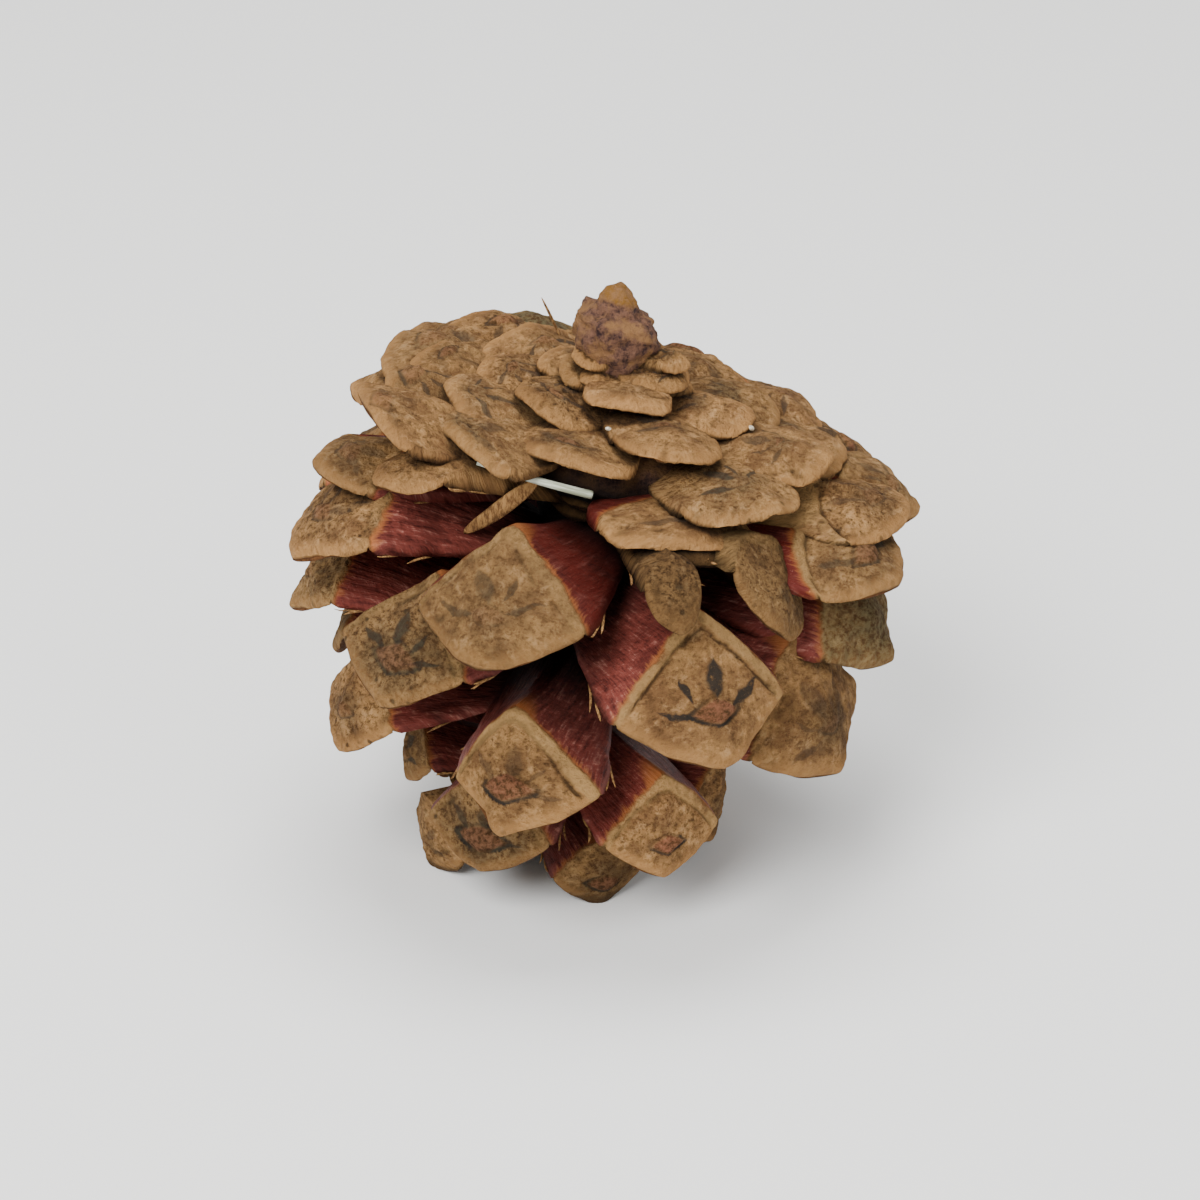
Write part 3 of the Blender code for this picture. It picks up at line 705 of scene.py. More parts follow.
def new_material(name, roughness, specular):
    """A material, its tree, its shader with the two constants set, and the function that adds nodes."""
    material = bpy.data.materials.new(name)
    material.use_nodes = True
    tree = material.node_tree
    shader = tree.nodes["Principled BSDF"]
    shader.inputs["Roughness"].default_value = roughness
    shader.inputs["Specular IOR Level"].default_value = specular
    return material, tree, shader, partial(node, tree)


def scale_wood(colours):
    """Dry pine cone scale: corky weathered face, resin-stained blade, smooth pale brown underside.

    The face is matt and mottled tan over grey-brown with dark grains, paler along its rim and more
    orange along its thick lower edge; its pale tan patches are painted highlights. The umbo is pinkish
    inside a ditch darkened by painted shade, with slate-coloured streaks round it. Painted shade also
    darkens crevices, grooves and creases. The blade is red-brown and slightly silky, with lengthwise
    fibres and painted glints; it and the underside fade into painted shade deep inside.
    """
    material, tree, shader, add = new_material("weathered_cone_scale", 0.8, 0.1)
    names = ("lie", "zone", "boss", "mark", "tone", "stain", "age")
    lie, zone, boss, mark, tone, stain, age = [add("attribute", attribute_name=name) for name in names]
    rim, low, under = [add(part, zone) for part in "xyz"]
    boss_x, boss_y, recess_shade = [add(part, boss) for part in "xyz"]
    green, tone_and_shade, red = [add(part, tone) for part in "xyz"]
    rim_share, cover, pepper = [add(part, stain) for part in "xyz"]
    grey, tint, slate_share = add("x", age), add("y", age), add("z", mark)

    patch = add("noise", lie, 0.33, 5.0, 0.62)
    fine = add("noise", lie, 1.9, 5.0, 0.74)
    grit = add("noise", lie, 4.6, 3.0, 0.75)
    fibre = add("noise", add("stretch", lie, (3.6, 0.30, 1.0)), 1.0, 4.0, 0.7)

    # Cork: patches from brown to ochre, fine mottling, pale tan patches painted as highlights, and dark
    # grains from a noise with cells of 0.22 mm
    face = add("mix", add("step", patch, 0.34, 0.66), colours["brown"], colours["ochre"])
    middling = add("noise", lie, 0.8, 3.0, 0.55)
    mottle = add("times", add("step", fine, 0.56, 0.36), add("plus_times", 0.40, pepper, 0.35))
    face = add("mix", add("times", add("step", middling, 0.52, 0.34), 0.28), face, colours["dark"])
    face = add("mix", mottle, face, colours["dark"])
    # Painted highlights: pale tan patches where the mottling is lightest
    highlighted = add("step", add("plus_times", middling, fine, 0.5), 0.78, 1.0)
    face = add("mix", add("times", highlighted, 0.6), face, colours["tan"])
    grains = add("step", add("plus_times", grit, fine, 0.35), 0.60, 0.50)
    grains = add("times", grains, add("plus_times", 0.25, pepper, 0.65))
    face = add("mix", grains, face, colours["dark"])

    # Weather: a grey-brown cloud round the umbo, widest along the face
    centre = add("plus", add("power", boss_x, 2.0), add("times", 0.55, add("power", boss_y, 2.0)))
    centre = add("power", centre, 0.5)
    cloud = add("plus_times", centre, patch, 3.0)
    weathered = add("times", add("step", cloud, 4.3, 2.2), add("times", grey, 0.8))
    weather = add("mix", add("step", fine, 0.35, 0.65), colours["dark"], colours["grey"])
    face = add("mix", weathered, face, weather)
    edge = add("plus_times", low, fine, 1.6)
    face = add("mix", add("times", add("step", edge, 2.2, 1.0), 0.65), face, colours["edge"])
    # Painted shade: near black in crevices, where the ambient occlusion finds other surfaces close, and in
    # the low places of the relief marked by the boss attribute
    crevice = add("step", add("openness", CREVICE), 0.84, 0.40)
    painted_shade = add("larger", crevice, add("step", recess_shade, 0.1, 0.9))
    face = add("mix", add("times", painted_shade, 0.75), face, colours["crack"])

    # Rim: a pale band along the upper edge that comes and goes. The dark line along its inside is painted
    # shade in the groove, mixed in above
    wander = add("times", add("minus", fine, 0.5), 0.9)
    rim_place = add("plus_times", add("plus", rim, wander), add("x", lie), 0.05)
    band = add("times", rim_share, add("step", patch, 0.3, 0.5))
    band = add("times", add("step", rim_place, 1.15, 0.75), band)
    face = add("mix", add("times", band, 0.6), face, colours["rim"])

    # Dark dots, in about one in three cells of 1.3 mm
    chosen = add("step", add("red", add("spot_colour", lie, 0.75)), 0.62, 0.68)
    dot = add("step", add("plus_times", add("spots", lie, 0.75), grit, 0.12), 0.33, 0.18)
    dot = add("times", dot, add("times", chosen, pepper))
    face = add("mix", add("times", dot, 0.75), face, colours["crack"])

    # Creases: fine dark lines that run out from the umbo, painted shade in the folds
    spoke = add("angle", add("y", lie), add("x", lie))
    spoke = add("vector", add("times", spoke, 5.0), add("times", centre, 0.30), add("z", lie))
    crease = add("step", add("noise", spoke, 1.7, 3.0, 0.6), 0.44, 0.36)
    crease = add("times", crease, add("step", middling, 0.45, 0.62))
    crease = add("times", crease, add("step", centre, 1.1, 2.0))
    face = add("mix", add("times", crease, 0.22), face, colours["dark"])

    # Slate streaks: lenses round the umbo with bent outlines
    bend = add("noise_colour", add("stretch", lie, (0.5, 0.5, 1.0)), 0.9, 3.0)
    sx = add("plus_times", add("x", mark), add("minus", add("red", bend), 0.5), 1.6)
    sy = add("plus_times", add("y", mark), add("minus", add("green", bend), 0.5), 1.6)
    slate = 0.0
    for middle_x, middle_y, turn, half_length, half_width in STREAKS:
        dx, dy = add("minus", sx, middle_x), add("minus", sy, middle_y)
        ahead = add("times", dx, math.sin(turn) / half_length)
        ahead = add("plus_times", ahead, dy, math.cos(turn) / half_length)
        aside = add("times", dx, math.cos(turn) / half_width)
        aside = add("plus_times", aside, dy, -math.sin(turn) / half_width)
        lens = add("plus", add("times", ahead, ahead), add("size", aside))
        slate = add("larger", slate, add("step", lens, 1.45, 0.8))
    slate = add("times", slate, add("step", fine, 0.28, 0.5))
    face = add("mix", add("times", slate, add("times", slate_share, 0.95)), face, colours["slate"])

    # Umbo: a pinkish rhombus, darker where it is worn, inside a slate-coloured outline
    ax, ay = add("power", add("size", boss_x), 1.25), add("power", add("size", boss_y), 1.25)
    q = add("power", add("plus", ax, ay), 1.0 / 1.25)
    q = add("plus_times", q, add("minus", fine, 0.5), 0.55)
    pink = add("mix", add("step", fine, 0.35, 0.65), colours["dark"], colours["umbo"])
    face = add("mix", add("times", add("step", q, 1.05, 0.8), add("times", tint, 0.85)), face, pink)
    outline = add("step", add("size", add("minus", q, 1.08)), 0.24, 0.04)
    broken = add("step", add("minus", patch, add("times", 0.10, boss_y)), 0.40, 0.62)
    outline = add("times", outline, add("times", add("plus_times", 0.25, tint, 0.7), broken))
    face = add("mix", outline, face, colours["slate"])
    lichen = add("mix", add("step", fine, 0.36, 0.62), colours["dark"], colours["moss"])
    face = add("mix", add("times", green, 0.7), face, lichen)

    # Blade: dark and light fibres with painted glints, red where resin has soaked in, orange near the face,
    # and painted shade deep inside towards the axis
    weave = add("plus_times", add("times", fibre, 0.6), fine, 0.4)
    blade = add("mix", add("step", weave, 0.34, 0.54), colours["blade_dark"], colours["blade"])
    blade = add("mix", add("step", weave, 0.52, 0.70), blade, colours["blade_light"])
    blade = add("mix", add("times", add("step", patch, 0.58, 0.40), 0.4), blade, colours["blade_dark"])
    soaked = add("times", red, add("times", add("step", patch, 0.34, 0.56), 0.85))
    blade = add("mix", soaked, blade, colours["blade_red"])
    # Painted glints: small light flecks on the blade
    painted_glint = add("times", add("step", grit, 0.60, 0.70), add("step", patch, 0.4, 0.6))
    blade = add("mix", add("times", painted_glint, 0.5), blade, colours["blade_light"])
    keel = add("size", add("over", add("x", lie), 1.8))
    keel = add("minus", 1.0, add("times", keel, keel), use_clamp=True)
    reach = add("plus_times", add("plus_times", 0.45, keel, 3.2), add("step", fibre, 0.42, 0.7), 0.8)
    near = add("times", add("step", add("over", rim, reach), -1.5, 0.0), 0.85)
    blade = add("mix", near, blade, colours["orange"])
    # Painted shade: from 7 to 16 mm in from the face's upper edge the blade fades to near black
    depth_shade = add("step", rim, -7.0, -16.0)
    blade = add("mix", add("times", depth_shade, 0.92), blade, colours["inside"])
    over_rim = add("plus_times", rim, add("minus", fibre, 0.5), 0.35)
    over_rim = add("plus_times", over_rim, add("minus", patch, 0.5), 1.8)
    on_face = add("step", over_rim, -0.42, 0.12)
    covered = add("larger", on_face, cover)
    upper = add("mix", covered, blade, face)

    sole = add("mix", add("step", fibre, 0.3, 0.7), colours["sole_dark"], colours["sole"])
    # Painted shade: the underside fades to near black deeper in, towards the axis
    sole = add("mix", add("times", add("step", rim, -2.0, -9.0), 0.85), sole, colours["inside"])
    colour = add("mix", add("step", under, 0.35, 0.65), upper, sole)
    # Each scale's brightness: a seeded spread of tone, and painted shade where a scale's own look sets it
    # below zero
    colour = add("shade", add("plus_times", 1.0, tone_and_shade, 0.4), colour)
    tree.links.new(colour, shader.inputs["Base Color"])

    matt = add("larger", covered, add("larger", under, depth_shade))
    tree.links.new(add("blend", matt, 0.55, 0.9), shader.inputs["Roughness"])
    rough = add("plus_times", add("times", fine, 0.70), grit, 0.20)
    rough = add("plus_times", rough, add("larger", dot, grains), -0.10)
    rough = add("plus_times", rough, crease, -0.06)
    height = add("blend", covered, add("times", fibre, 0.30), rough)
    tree.links.new(add("bump", height, MM, 1.0), shader.inputs["Normal"])
    return material


def stalk_wood(colours):
    """Broken woody stalk: purplish brown bark below, crumbly ochre resin and splintered wood on top, and
    painted shade where it runs down inside the cone.
    """
    material, tree, shader, add = new_material("broken_cone_stalk", 0.85, 0.2)
    lie = add("attribute", attribute_name="lie")
    height = add("z", lie)
    fine = add("noise", lie, 1.3, 5.0, 0.72)
    patch = add("noise", lie, 0.45, 4.0, 0.6)
    bark = add("mix", add("step", fine, 0.34, 0.60), colours["bark_dark"], colours["bark"])
    bark = add("mix", add("step", patch, 0.45, 0.65), bark, colours["brown"])
    crumb = add("mix", add("step", fine, 0.38, 0.60), colours["brown"], colours["resin"])
    top = add("step", add("plus_times", height, patch, 2.6), 62.5, 63.2)
    colour = add("mix", top, bark, crumb)
    # Painted shade: below 52 mm, where the stalk and the woody axis run down inside the cone, they fade to
    # near black
    depth_shade = add("step", height, 52.0, 46.0)
    tree.links.new(add("mix", depth_shade, colour, colours["inside"]), shader.inputs["Base Color"])
    tree.links.new(add("bump", fine, 0.7 * MM, 1.0), shader.inputs["Normal"])
    return material


def dry_needle(colours):
    """Bleached pine needle: pale, slightly silky, with lengthwise lines."""
    material, tree, shader, add = new_material("bleached_needle", 0.45, 0.4)
    lie = add("attribute", attribute_name="lie")
    lines = add("noise", add("stretch", lie, (0.25, 3.0, 3.0)), 1.0, 3.0, 0.6)
    colour = add("mix", add("step", lines, 0.4, 0.6), colours["needle_shade"], colours["needle"])
    tree.links.new(colour, shader.inputs["Base Color"])
    tree.links.new(add("bump", lines, 0.1 * MM, 1.0), shader.inputs["Normal"])
    return material


def split_fibre(colours):
    """Split dry fibres: tan with darker lengthwise streaks, matt."""
    material, tree, shader, add = new_material("split_dry_fibre", 0.85, 0.2)
    lie = add("attribute", attribute_name="lie")
    streak = add("noise", add("stretch", lie, (2.2, 2.2, 0.7)), 1.4, 4.0, 0.7)
    colour = add("mix", add("step", streak, 0.38, 0.62), colours["sliver_dark"], colours["sliver"])
    tree.links.new(colour, shader.inputs["Base Color"])
    tree.links.new(add("bump", streak, 0.25 * MM, 1.0), shader.inputs["Normal"])
    return material


def dried_resin(colours):
    """Dried resin drops: whitish, cloudy and a little shiny."""
    material, tree, shader, add = new_material("dried_resin", 0.4, 0.5)
    cloud = add("noise", add("attribute", attribute_name="lie"), 3.0, 3.0, 0.6)
    colour = add("mix", add("step", cloud, 0.35, 0.65), colours["drop_dark"], colours["drop"])
    tree.links.new(colour, shader.inputs["Base Color"])
    tree.links.new(add("bump", cloud, 0.1 * MM, 1.0), shader.inputs["Normal"])
    return material


def studio_paper(colours):
    """Matt white paper floor."""
    material, _, shader, _ = new_material("matt_paper", 0.9, 0.2)
    shader.inputs["Base Color"].default_value = colours["floor"]
    return material


def colour_of(name, description, hex_colour):
    """A colour property whose default is the hex colour turned linear."""
    return bpy.props.FloatVectorProperty(
        name=name,
        description=description,
        subtype="COLOR",
        size=4,
        min=0.0,
        max=1.0,
        default=linear(hex_colour),
    )


class ConeSizes(bpy.types.PropertyGroup):
    """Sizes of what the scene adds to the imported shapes"""

    relief: bpy.props.FloatProperty(
        name="Relief",
        description="Strength of the wrinkles, grooves and lumps",
        default=1.0,
        min=0.0,
        max=2.0,
    )
    rim_width: bpy.props.FloatProperty(
        name="Rim width",
        description="Width of the pale rim on a large scale",
        default=1.1 * MM,
        unit="LENGTH",
    )
    lip_round: bpy.props.FloatProperty(
        name="Lip rounding",
        description="How far the lower edge of a scale is rounded",
        default=1.6 * MM,
        unit="LENGTH",
    )
    umbo_width: bpy.props.FloatProperty(
        name="Umbo width", description="Width of the umbo on a large scale", default=4.8 * MM, unit="LENGTH"
    )
    needle_radius: bpy.props.FloatProperty(
        name="Needle radius",
        description="Half the width of the caught needle bit",
        default=NEEDLE_RADIUS * MM,
        unit="LENGTH",
    )


class ConeColours(bpy.types.PropertyGroup):
    """Colours of the cone, the needle and the floor"""

    # The tan patches on the faces are painted highlights
    tan: colour_of("Face tan", "Light worn cork on the faces", "#c29a6a")
    ochre: colour_of("Face ochre", "Main colour of the faces", "#b08554")
    brown: colour_of("Face brown", "Darker patches on the faces", "#805c3a")
    grey: colour_of("Face grey-brown", "Weathered middle of the faces", "#6a563c")
    dark: colour_of("Face grains", "Dark mottling and grains", "#452f1a")
    edge: colour_of("Lower edge", "Orange-tan thick lower edge", "#ae804e")
    rim: colour_of("Rim", "Pale band along the upper edge", "#b48f5c")
    # Near black of the dots, also used for the painted shade in crevices, grooves, the umbo's ditch and other
    # low places
    crack: colour_of("Cracks", "Cracks and dots", "#21150c")
    slate: colour_of("Slate", "Slate streaks round the umbo", "#2e2a26")
    umbo: colour_of("Umbo", "Pinkish umbo", "#8a5740")
    moss: colour_of("Greenish face", "Weathered greenish faces", "#6f6848")
    blade_dark: colour_of("Blade dark", "Dark fibres of the blades", "#371512")
    blade: colour_of("Blade", "Red-brown of the blades", "#72372f")
    # Light fibres of the blades, also used for their painted glints
    blade_light: colour_of("Blade light", "Light fibres of the blades", "#b47d6f")
    blade_red: colour_of("Blade red", "Resin-red of some blades", "#531812")
    orange: colour_of("Blade orange", "Where the blade meets the face", "#945a30")
    # Near black painted shade deep between the scales, on the blades, the undersides, the stalk and the woody
    # axis
    inside: colour_of("Inside", "Deep between the scales", "#0c0504")
    sole: colour_of("Underside", "Underside of the scales", "#80542f")
    sole_dark: colour_of("Underside dark", "Dark fibres of the underside", "#4e2f1b")
    bark: colour_of("Stalk bark", "Bark of the stalk", "#6b4b3a")
    bark_dark: colour_of("Stalk bark dark", "Dark hollows in the bark", "#2d1c1c")
    resin: colour_of("Stalk resin", "Crumbly resin on the broken end", "#76511f")
    needle: colour_of("Needle", "Bleached needle", "#d3d8c6")
    needle_shade: colour_of("Needle shade", "Darker lines of the needle", "#9a9f86")
    sliver: colour_of("Sliver", "Light streaks of the splinters and the sliver", "#a9804f")
    sliver_dark: colour_of("Sliver dark", "Dark streaks of the splinters and the sliver", "#6a4a2c")
    drop: colour_of("Resin drop", "Dried resin", "#d9d2bf")
    drop_dark: colour_of("Resin drop dark", "Cloudy parts of the resin", "#9d8f76")
    floor: colour_of("Floor", "Paper floor", "#f1f1ef")


def palette():
    """The colours as set in the panel, by name."""
    colours = bpy.context.scene.pine_cone_colours
    return {key: tuple(getattr(colours, key)) for key in ConeColours.__annotations__}


def one_scale(index, draw, sizes):
    """Points, quads and attributes of one scale, in the cone's frame."""
    s = scale_sizes(index, draw)
    look = scale_look(index, s["long"])
    umbo = 0.5 * sizes.umbo_width / MM * s["width"] / USUAL_WIDTH * look["umbo"]
    s["umbo"] = (umbo, (0.55 if s["long"] else 0.36) * umbo, -0.03 * s["width"])
    s["rim"], s["tint"], s["lean"] = look["rim"], look["tint"] * (1.0 - look["plain"]), look["lean"]
    if look["plain"]:
        s["upper_roundness"], s["lower_roundness"] = TONGUE_ROUNDNESS
    upper, lower, where = scale_sheets(s, LONG_GRID if s["long"] else SHORT_GRID, sizes)
    rows, columns = upper.shape[:2]

    def joined(key):
        return np.concatenate([where[key].ravel(), where[key][1:-1, 1:-1].ravel()])

    points = place_scale(np.concatenate([upper.reshape(-1, 3), lower[1:-1, 1:-1].reshape(-1, 3)]), s)
    x, y, sheet = joined("x"), joined("y"), np.zeros(len(points))
    sheet[rows * columns :] = 1.0
    turn, side = look["streak_turn"], look["streak_side"]
    boss_x, boss_y = x / s["umbo"][0], (y - s["umbo"][2]) / s["umbo"][1]
    even = USUAL_WIDTH / s["width"]
    even_x, even_y = side * even * x, even * (y - s["umbo"][2])
    ones = np.ones(len(points))
    marks = {
        "lie": (x, y, 9.7 * index + 40.0 * sheet),
        "zone": (joined("rim"), joined("low"), sheet),
        "boss": (boss_x, boss_y, joined("recess_shade")),
        "mark": (
            even_x * math.cos(turn) - even_y * math.sin(turn),
            even_x * math.sin(turn) + even_y * math.cos(turn),
            look["slate"] * ones,
        ),
        "tone": (look["green"] * ones, look["tone_and_shade"] * ones, look["red"] * ones),
        "stain": (look["rim"] * ones, max(look["plain"], look["cover"]) * ones, look["pepper"] * ones),
        "age": (look["grey"] * ones, s["tint"] * ones, 0.0 * ones),
    }
    return points, pillow(rows, columns), {key: np.stack(value, axis=-1) for key, value in marks.items()}


def add_scales(sizes):
    """Each group of scales as one piece, with every scale drawn in the order of the spiral."""
    draws = scale_draws()
    material = scale_wood(palette())
    for name, (first, last) in GROUPS.items():
        scales = [one_scale(index, draws[index], sizes) for index in range(first, last + 1)]
        starts = np.cumsum([0] + [len(points) for points, _, _ in scales])
        points = np.concatenate([points for points, _, _ in scales])
        quads = np.concatenate([quads + start for (_, quads, _), start in zip(scales, starts)])
        marks = {key: np.concatenate([marks[key] for _, _, marks in scales]) for key in scales[0][2]}
        new_piece(name, new_mesh(name, to_world(points), quads, marks), material, ["cone"])


def tube(count, sides):
    """Quads round a stack of rings, with both ends closed by strips of quads across them."""
    index = np.arange(count * sides).reshape(count, sides)
    turned = np.roll(index, -1, axis=1)
    walls = np.stack([index[:-1], turned[:-1], turned[1:], index[1:]], axis=-1).reshape(-1, 4)
    k = np.arange(sides // 2 - 1)
    first, last = index[[0, -1]][:, np.stack([k, (-1 - k) % sides, (-2 - k) % sides, k + 1], axis=-1)]
    return np.concatenate([walls, first, last[:, ::-1]])


def turned_rings(profile, heights, sides, shift, rough, seed):
    """Rings of a turned shape whose radius is the profile's at each height, with seeded knobs."""
    radii, levels = np.array(profile).T
    radius = np.interp(heights, levels, radii)[:, None]
    angle = np.linspace(0.0, 2.0 * math.pi, sides, endpoint=False)[None, :]
    place = (1.6 * np.cos(angle), 1.6 * np.sin(angle), heights[:, None] / 2.2)
    place = np.stack(np.broadcast_arrays(*place), axis=-1)
    knobs = noise(place, seed) + 0.5 * noise(2.7 * place, seed + 1) + 0.25 * noise(7.0 * place, seed + 2)
    radius = radius * (1.0 + rough * knobs)
    moved = shift * np.clip((heights - levels[0]) / (levels[-1] - levels[0]), 0.0, 1.0)[:, None]
    up = heights[:, None] + 0.0 * angle
    return np.stack([radius * np.cos(angle) + moved, radius * np.sin(angle), up], axis=-1)


def add_stalk():
    """The stub and the axis: turned shapes, the stub's last ring drawn in and its top pushed up and down."""
    material = stalk_wood(palette())
    heights = np.linspace(STALK_LOOK[0][1], STALK_LOOK[-1][1], STALK_RINGS)
    stalk = turned_rings(STALK_LOOK, heights, STALK_SIDES, STALK_SHIFT, STALK_ROUGH, STALK_SEED)
    middle = stalk[-1].mean(axis=0)
    stalk[-1] = middle + STALK_TIP * (stalk[-1] - middle)
    depth, start, full = STALK_CRAGS
    stalk[..., 2] += depth * noise(stalk, CRAG_SEED) * smooth(stalk[..., 2], start, full)
    heights = np.linspace(AXIS_PROFILE[0][1], AXIS_PROFILE[-1][1], AXIS_RINGS)
    axis = turned_rings(AXIS_PROFILE, heights, AXIS_SIDES, 0.0, AXIS_ROUGH, AXIS_SEED)
    for name, rings in (("stalk_stub", stalk), ("woody_axis", axis)):
        flat = rings.reshape(-1, 3)
        mesh = new_mesh(name, to_world(flat), tube(*rings.shape[:2]), {"lie": flat})
        new_piece(name, mesh, material, ["cone"])


def swept(path, radii, sides):
    """Rings of a round profile carried along a path: each lies across the path's own direction."""
    ahead = np.gradient(path, axis=0)
    ahead /= np.linalg.norm(ahead, axis=1, keepdims=True)
    aside = np.cross((0.0, 0.0, 1.0), ahead)
    aside /= np.linalg.norm(aside, axis=1, keepdims=True)
    above = np.cross(ahead, aside)
    angle = np.linspace(0.0, 2.0 * math.pi, sides, endpoint=False)[None, :, None]
    around = np.cos(angle) * aside[:, None] + np.sin(angle) * above[:, None]
    return path[:, None] + radii[:, None, None] * around


def add_needle(sizes):
    """A round profile carried along a parabola that sags, a little thicker at its broken end."""
    share = np.linspace(0.0, 1.0, NEEDLE_RINGS)
    ends = np.array([NEEDLE_HIDDEN_END, NEEDLE_BROKEN_END])
    path = ends[0] + share[:, None] * (ends[1] - ends[0])
    path[:, 2] -= 4.0 * NEEDLE_SAG * share * (1.0 - share)
    radii = sizes.needle_radius / MM * (1.0 - NEEDLE_TAPER + NEEDLE_TAPER * share)
    rings = swept(path, radii, NEEDLE_SIDES)
    along = np.linalg.norm(path - path[0], axis=1)[:, None] + np.zeros(NEEDLE_SIDES)
    around = np.linspace(0.0, 2.0, NEEDLE_SIDES)[None, :] + 0.0 * along
    lie = np.stack([along, around, 0.0 * along], axis=-1).reshape(-1, 3)
    quads = tube(NEEDLE_RINGS, NEEDLE_SIDES)
    mesh = new_mesh("needle_fragment", rings.reshape(-1, 3) * MM, quads, {"lie": lie})
    new_piece("needle_fragment", mesh, dry_needle(palette()), ["needle_bit"])


def edge_splinters(index, draw, sizes):
    """Splinters along both side edges of a blade. Each starts in the edge and peels away from it.

    Its path follows the edge over a seeded stretch and leaves it sideways by the square of its share,
    and its radius falls from its middle to both ends by the square root of a parabola.
    """
    s = scale_sizes(index, draw)
    s["umbo"], s["rim"], s["tint"] = (1.0, 1.0, 0.0), 0.0, 0.0
    s["lean"] = scale_look(index, s["long"])["lean"]
    upper = scale_sheets(s, LONG_GRID, sizes)[0][: LONG_GRID[0] + 1]
    share = np.linspace(0.0, 1.0, SPLINTER_RINGS)
    random = np.random.default_rng((SEED, index + 500))
    made = []
    for side in (-1.0, 1.0) * SPLINTERS_A_SIDE:
        edge = upper[:, 0 if side < 0.0 else -1]
        first = random.uniform(*SPLINTER_START)
        rows = np.linspace(first, first + random.uniform(*SPLINTER_RUN), SPLINTER_RINGS) * (len(edge) - 1)
        path = np.stack([np.interp(rows, np.arange(len(edge)), edge[:, k]) for k in range(3)], axis=-1)
        path[:, 0] += side * (random.uniform(*SPLINTER_PEEL) * share**2 - SPLINTER_SUNK)
        path[:, 2] += random.uniform(*SPLINTER_RISE) * share**2
        radii = random.uniform(*SPLINTER_RADIUS) * np.sqrt(0.05 + 4.0 * share * (1.0 - share))
        made.append(place_scale(swept(path, radii, SPLINTER_SIDES), s))
    return made


def add_splinters(sizes):
    """The splinters of all bare blades as one piece."""
    draws = scale_draws()
    rings = []
    for index in range(FIRST_BARE_BLADE, LONG_BLADES[1] + 1):
        rings += edge_splinters(index, draws[index], sizes)
    points = to_world(np.stack(rings).reshape(-1, 3))
    quads = tube(SPLINTER_RINGS, SPLINTER_SIDES)
    starts = SPLINTER_RINGS * SPLINTER_SIDES * np.arange(len(rings))
    quads = (quads[None] + starts[:, None, None]).reshape(-1, 4)
    mesh = new_mesh("splinters", points, quads, {"lie": points / MM})
    new_piece("splinters", mesh, split_fibre(palette()))


def add_bits():
    """The sliver, the bristle and the resin: each a flattened round profile carried along a bowed path.

    The path runs straight between its points and is averaged once with its neighbours. The radius
    falls from the middle to both ends by the square root of a parabola.
    """
    kinds = (("bark_bits", split_fibre, BARK_BITS), ("resin_bits", dried_resin, RESIN_BITS))
    for name, make_material, bits in kinds:
        points, quads, start = [], [], 0
        for path, half_width, half_depth in bits:
            share = np.linspace(0.0, 1.0, BIT_RINGS)
            knots = np.linspace(0.0, 1.0, len(path))
            line = np.stack([np.interp(share, knots, values) for values in np.array(path).T], axis=-1)
            line[1:-1] = 0.25 * line[:-2] + 0.5 * line[1:-1] + 0.25 * line[2:]
            bulge = np.sqrt(0.02 + 4.0 * share * (1.0 - share))
            rings = swept(line, half_width * bulge, BIT_SIDES)
            rings = line[:, None] + (rings - line[:, None]) * np.array([1.0, half_depth / half_width, 1.0])
            points.append(rings.reshape(-1, 3))
            quads.append(tube(BIT_RINGS, BIT_SIDES) + start)
            start += BIT_RINGS * BIT_SIDES
        points = np.concatenate(points)
        mesh = new_mesh(name, points * MM, np.concatenate(quads), {"lie": points})
        new_piece(name, mesh, make_material(palette()))


def add_studio():
    """The floor, the light of the room, the lamps and the camera."""
    scene = bpy.context.scene
    corners = FLOOR_REACH * np.array([(-1.0, -1.0, 0.0), (1.0, -1.0, 0.0), (1.0, 1.0, 0.0), (-1.0, 1.0, 0.0)])
    mesh = new_mesh("floor", corners, np.array([[0, 1, 2, 3]]))
    mesh.materials.append(studio_paper(palette()))
    floor = bpy.data.objects.new("floor", mesh)
    scene.collection.objects.link(floor)
    world = bpy.data.worlds.new("studio")
    world.use_nodes = True
    background = world.node_tree.nodes["Background"]
    background.inputs["Color"].default_value = linear(WORLD_COLOUR)
    background.inputs["Strength"].default_value = WORLD_STRENGTH
    scene.world = world
    for name, place, size, power in LAMPS:
        light = bpy.data.lights.new(name, "AREA")
        light.shape = "DISK"
        light.size = size
        light.energy = power
        lamp = bpy.data.objects.new(name, light)
        scene.collection.objects.link(lamp)
        lamp.location = place
        lamp.rotation_euler = (Vector(LAMPS_FACE) - Vector(place)).to_track_quat("-Z", "Y").to_euler()
    elevation = math.radians(CAMERA_ELEVATION)
    target = Vector((standing() @ np.array([0.0, 0.0, CAMERA_AIM * MM, 1.0]))[:3])
    camera = bpy.data.cameras.new("camera")
    camera.sensor_width = CAMERA_SENSOR
    camera.lens = CAMERA_LENS
    camera.clip_start = CAMERA_NEAR
    camera.shift_x, camera.shift_y = CAMERA_SHIFT
    viewer = bpy.data.objects.new("camera", camera)
    scene.collection.objects.link(viewer)
    viewer.location = target + CAMERA_DISTANCE * Vector((0.0, -math.cos(elevation), math.sin(elevation)))
    viewer.rotation_euler = (math.radians(90.0) - elevation, 0.0, 0.0)
    scene.camera = viewer


class AddScales(bpy.types.Operator):
    """Adds the scales in groups, each worked out from its place on the spiral"""

    bl_idname = "pine_cone.add_scales"
    bl_label = "Scales"

    def execute(self, context):
        add_scales(context.scene.pine_cone_sizes)
        return {"FINISHED"}


class AddStalk(bpy.types.Operator):
    """Adds the woody axis and the broken stalk stub"""

    bl_idname = "pine_cone.add_stalk"
    bl_label = "Stalk and axis"

    def execute(self, context):
        add_stalk()
        return {"FINISHED"}


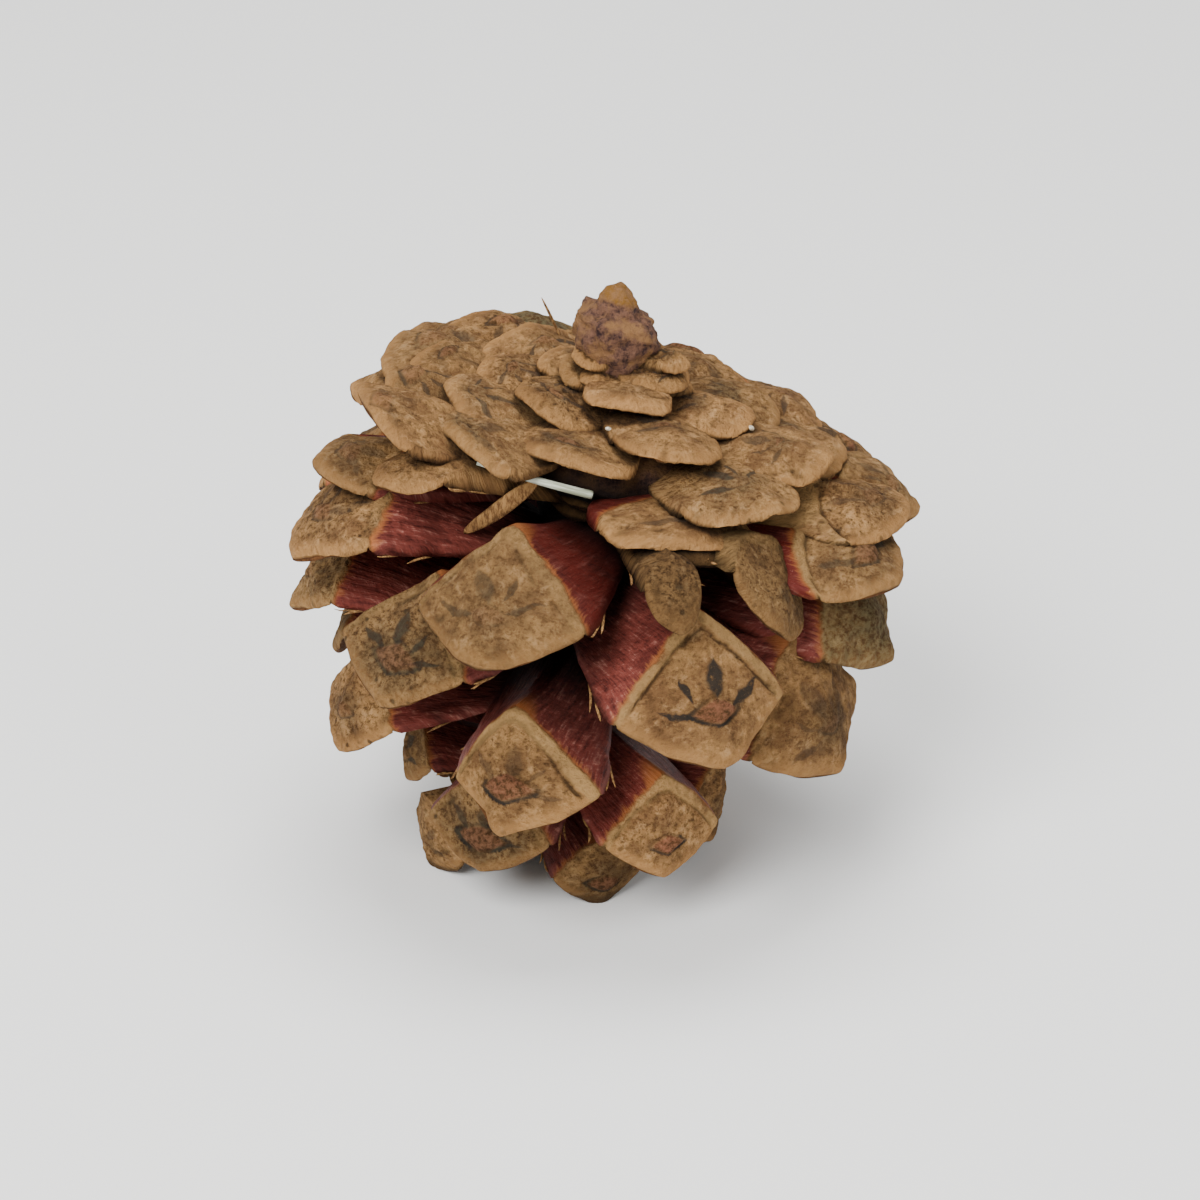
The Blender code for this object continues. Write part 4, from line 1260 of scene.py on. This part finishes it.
class AddNeedle(bpy.types.Operator):
    """Adds the dry needle bit caught under the rim"""

    bl_idname = "pine_cone.add_needle"
    bl_label = "Needle bit"

    def execute(self, context):
        add_needle(context.scene.pine_cone_sizes)
        return {"FINISHED"}


class AddSplinters(bpy.types.Operator):
    """Adds the splinters along the side edges of the bare blades"""

    bl_idname = "pine_cone.add_splinters"
    bl_label = "Splinters"

    def execute(self, context):
        add_splinters(context.scene.pine_cone_sizes)
        return {"FINISHED"}


class AddBits(bpy.types.Operator):
    """Adds the loose sliver, the bristle and the resin drops"""

    bl_idname = "pine_cone.add_bits"
    bl_label = "Sliver, bristle and resin"

    def execute(self, context):
        add_bits()
        return {"FINISHED"}


class AddStudio(bpy.types.Operator):
    """Adds the pale floor, the soft light and the camera"""

    bl_idname = "pine_cone.add_studio"
    bl_label = "Studio"

    def execute(self, context):
        add_studio()
        return {"FINISHED"}


class ConePanel(bpy.types.Panel):
    """Lists the sizes, the colours and the operators"""

    bl_idname = "VIEW3D_PT_pine_cone"
    bl_label = "Pine Cone"
    bl_space_type = "VIEW_3D"
    bl_region_type = "UI"
    bl_category = "Pine Cone"

    def draw(self, context):
        scene = context.scene
        for settings in (scene.pine_cone_sizes, scene.pine_cone_colours):
            for key in type(settings).__annotations__:
                self.layout.prop(settings, key)
        for operator in OPERATORS:
            self.layout.operator(operator.bl_idname)


OPERATORS = (AddScales, AddStalk, AddNeedle, AddSplinters, AddBits, AddStudio)
CLASSES = (ConeSizes, ConeColours, *OPERATORS, ConePanel)


def register():
    for each in CLASSES:
        bpy.utils.register_class(each)
    bpy.types.Scene.pine_cone_sizes = bpy.props.PointerProperty(type=ConeSizes)
    bpy.types.Scene.pine_cone_colours = bpy.props.PointerProperty(type=ConeColours)


def unregister():
    del bpy.types.Scene.pine_cone_colours
    del bpy.types.Scene.pine_cone_sizes
    for each in reversed(CLASSES):
        bpy.utils.unregister_class(each)


def main():
    register()
    bpy.ops.pine_cone.add_scales()
    bpy.ops.pine_cone.add_stalk()
    bpy.ops.pine_cone.add_needle()
    bpy.ops.pine_cone.add_splinters()
    bpy.ops.pine_cone.add_bits()
    bpy.ops.pine_cone.add_studio()


if __name__ == "__main__":
    main()
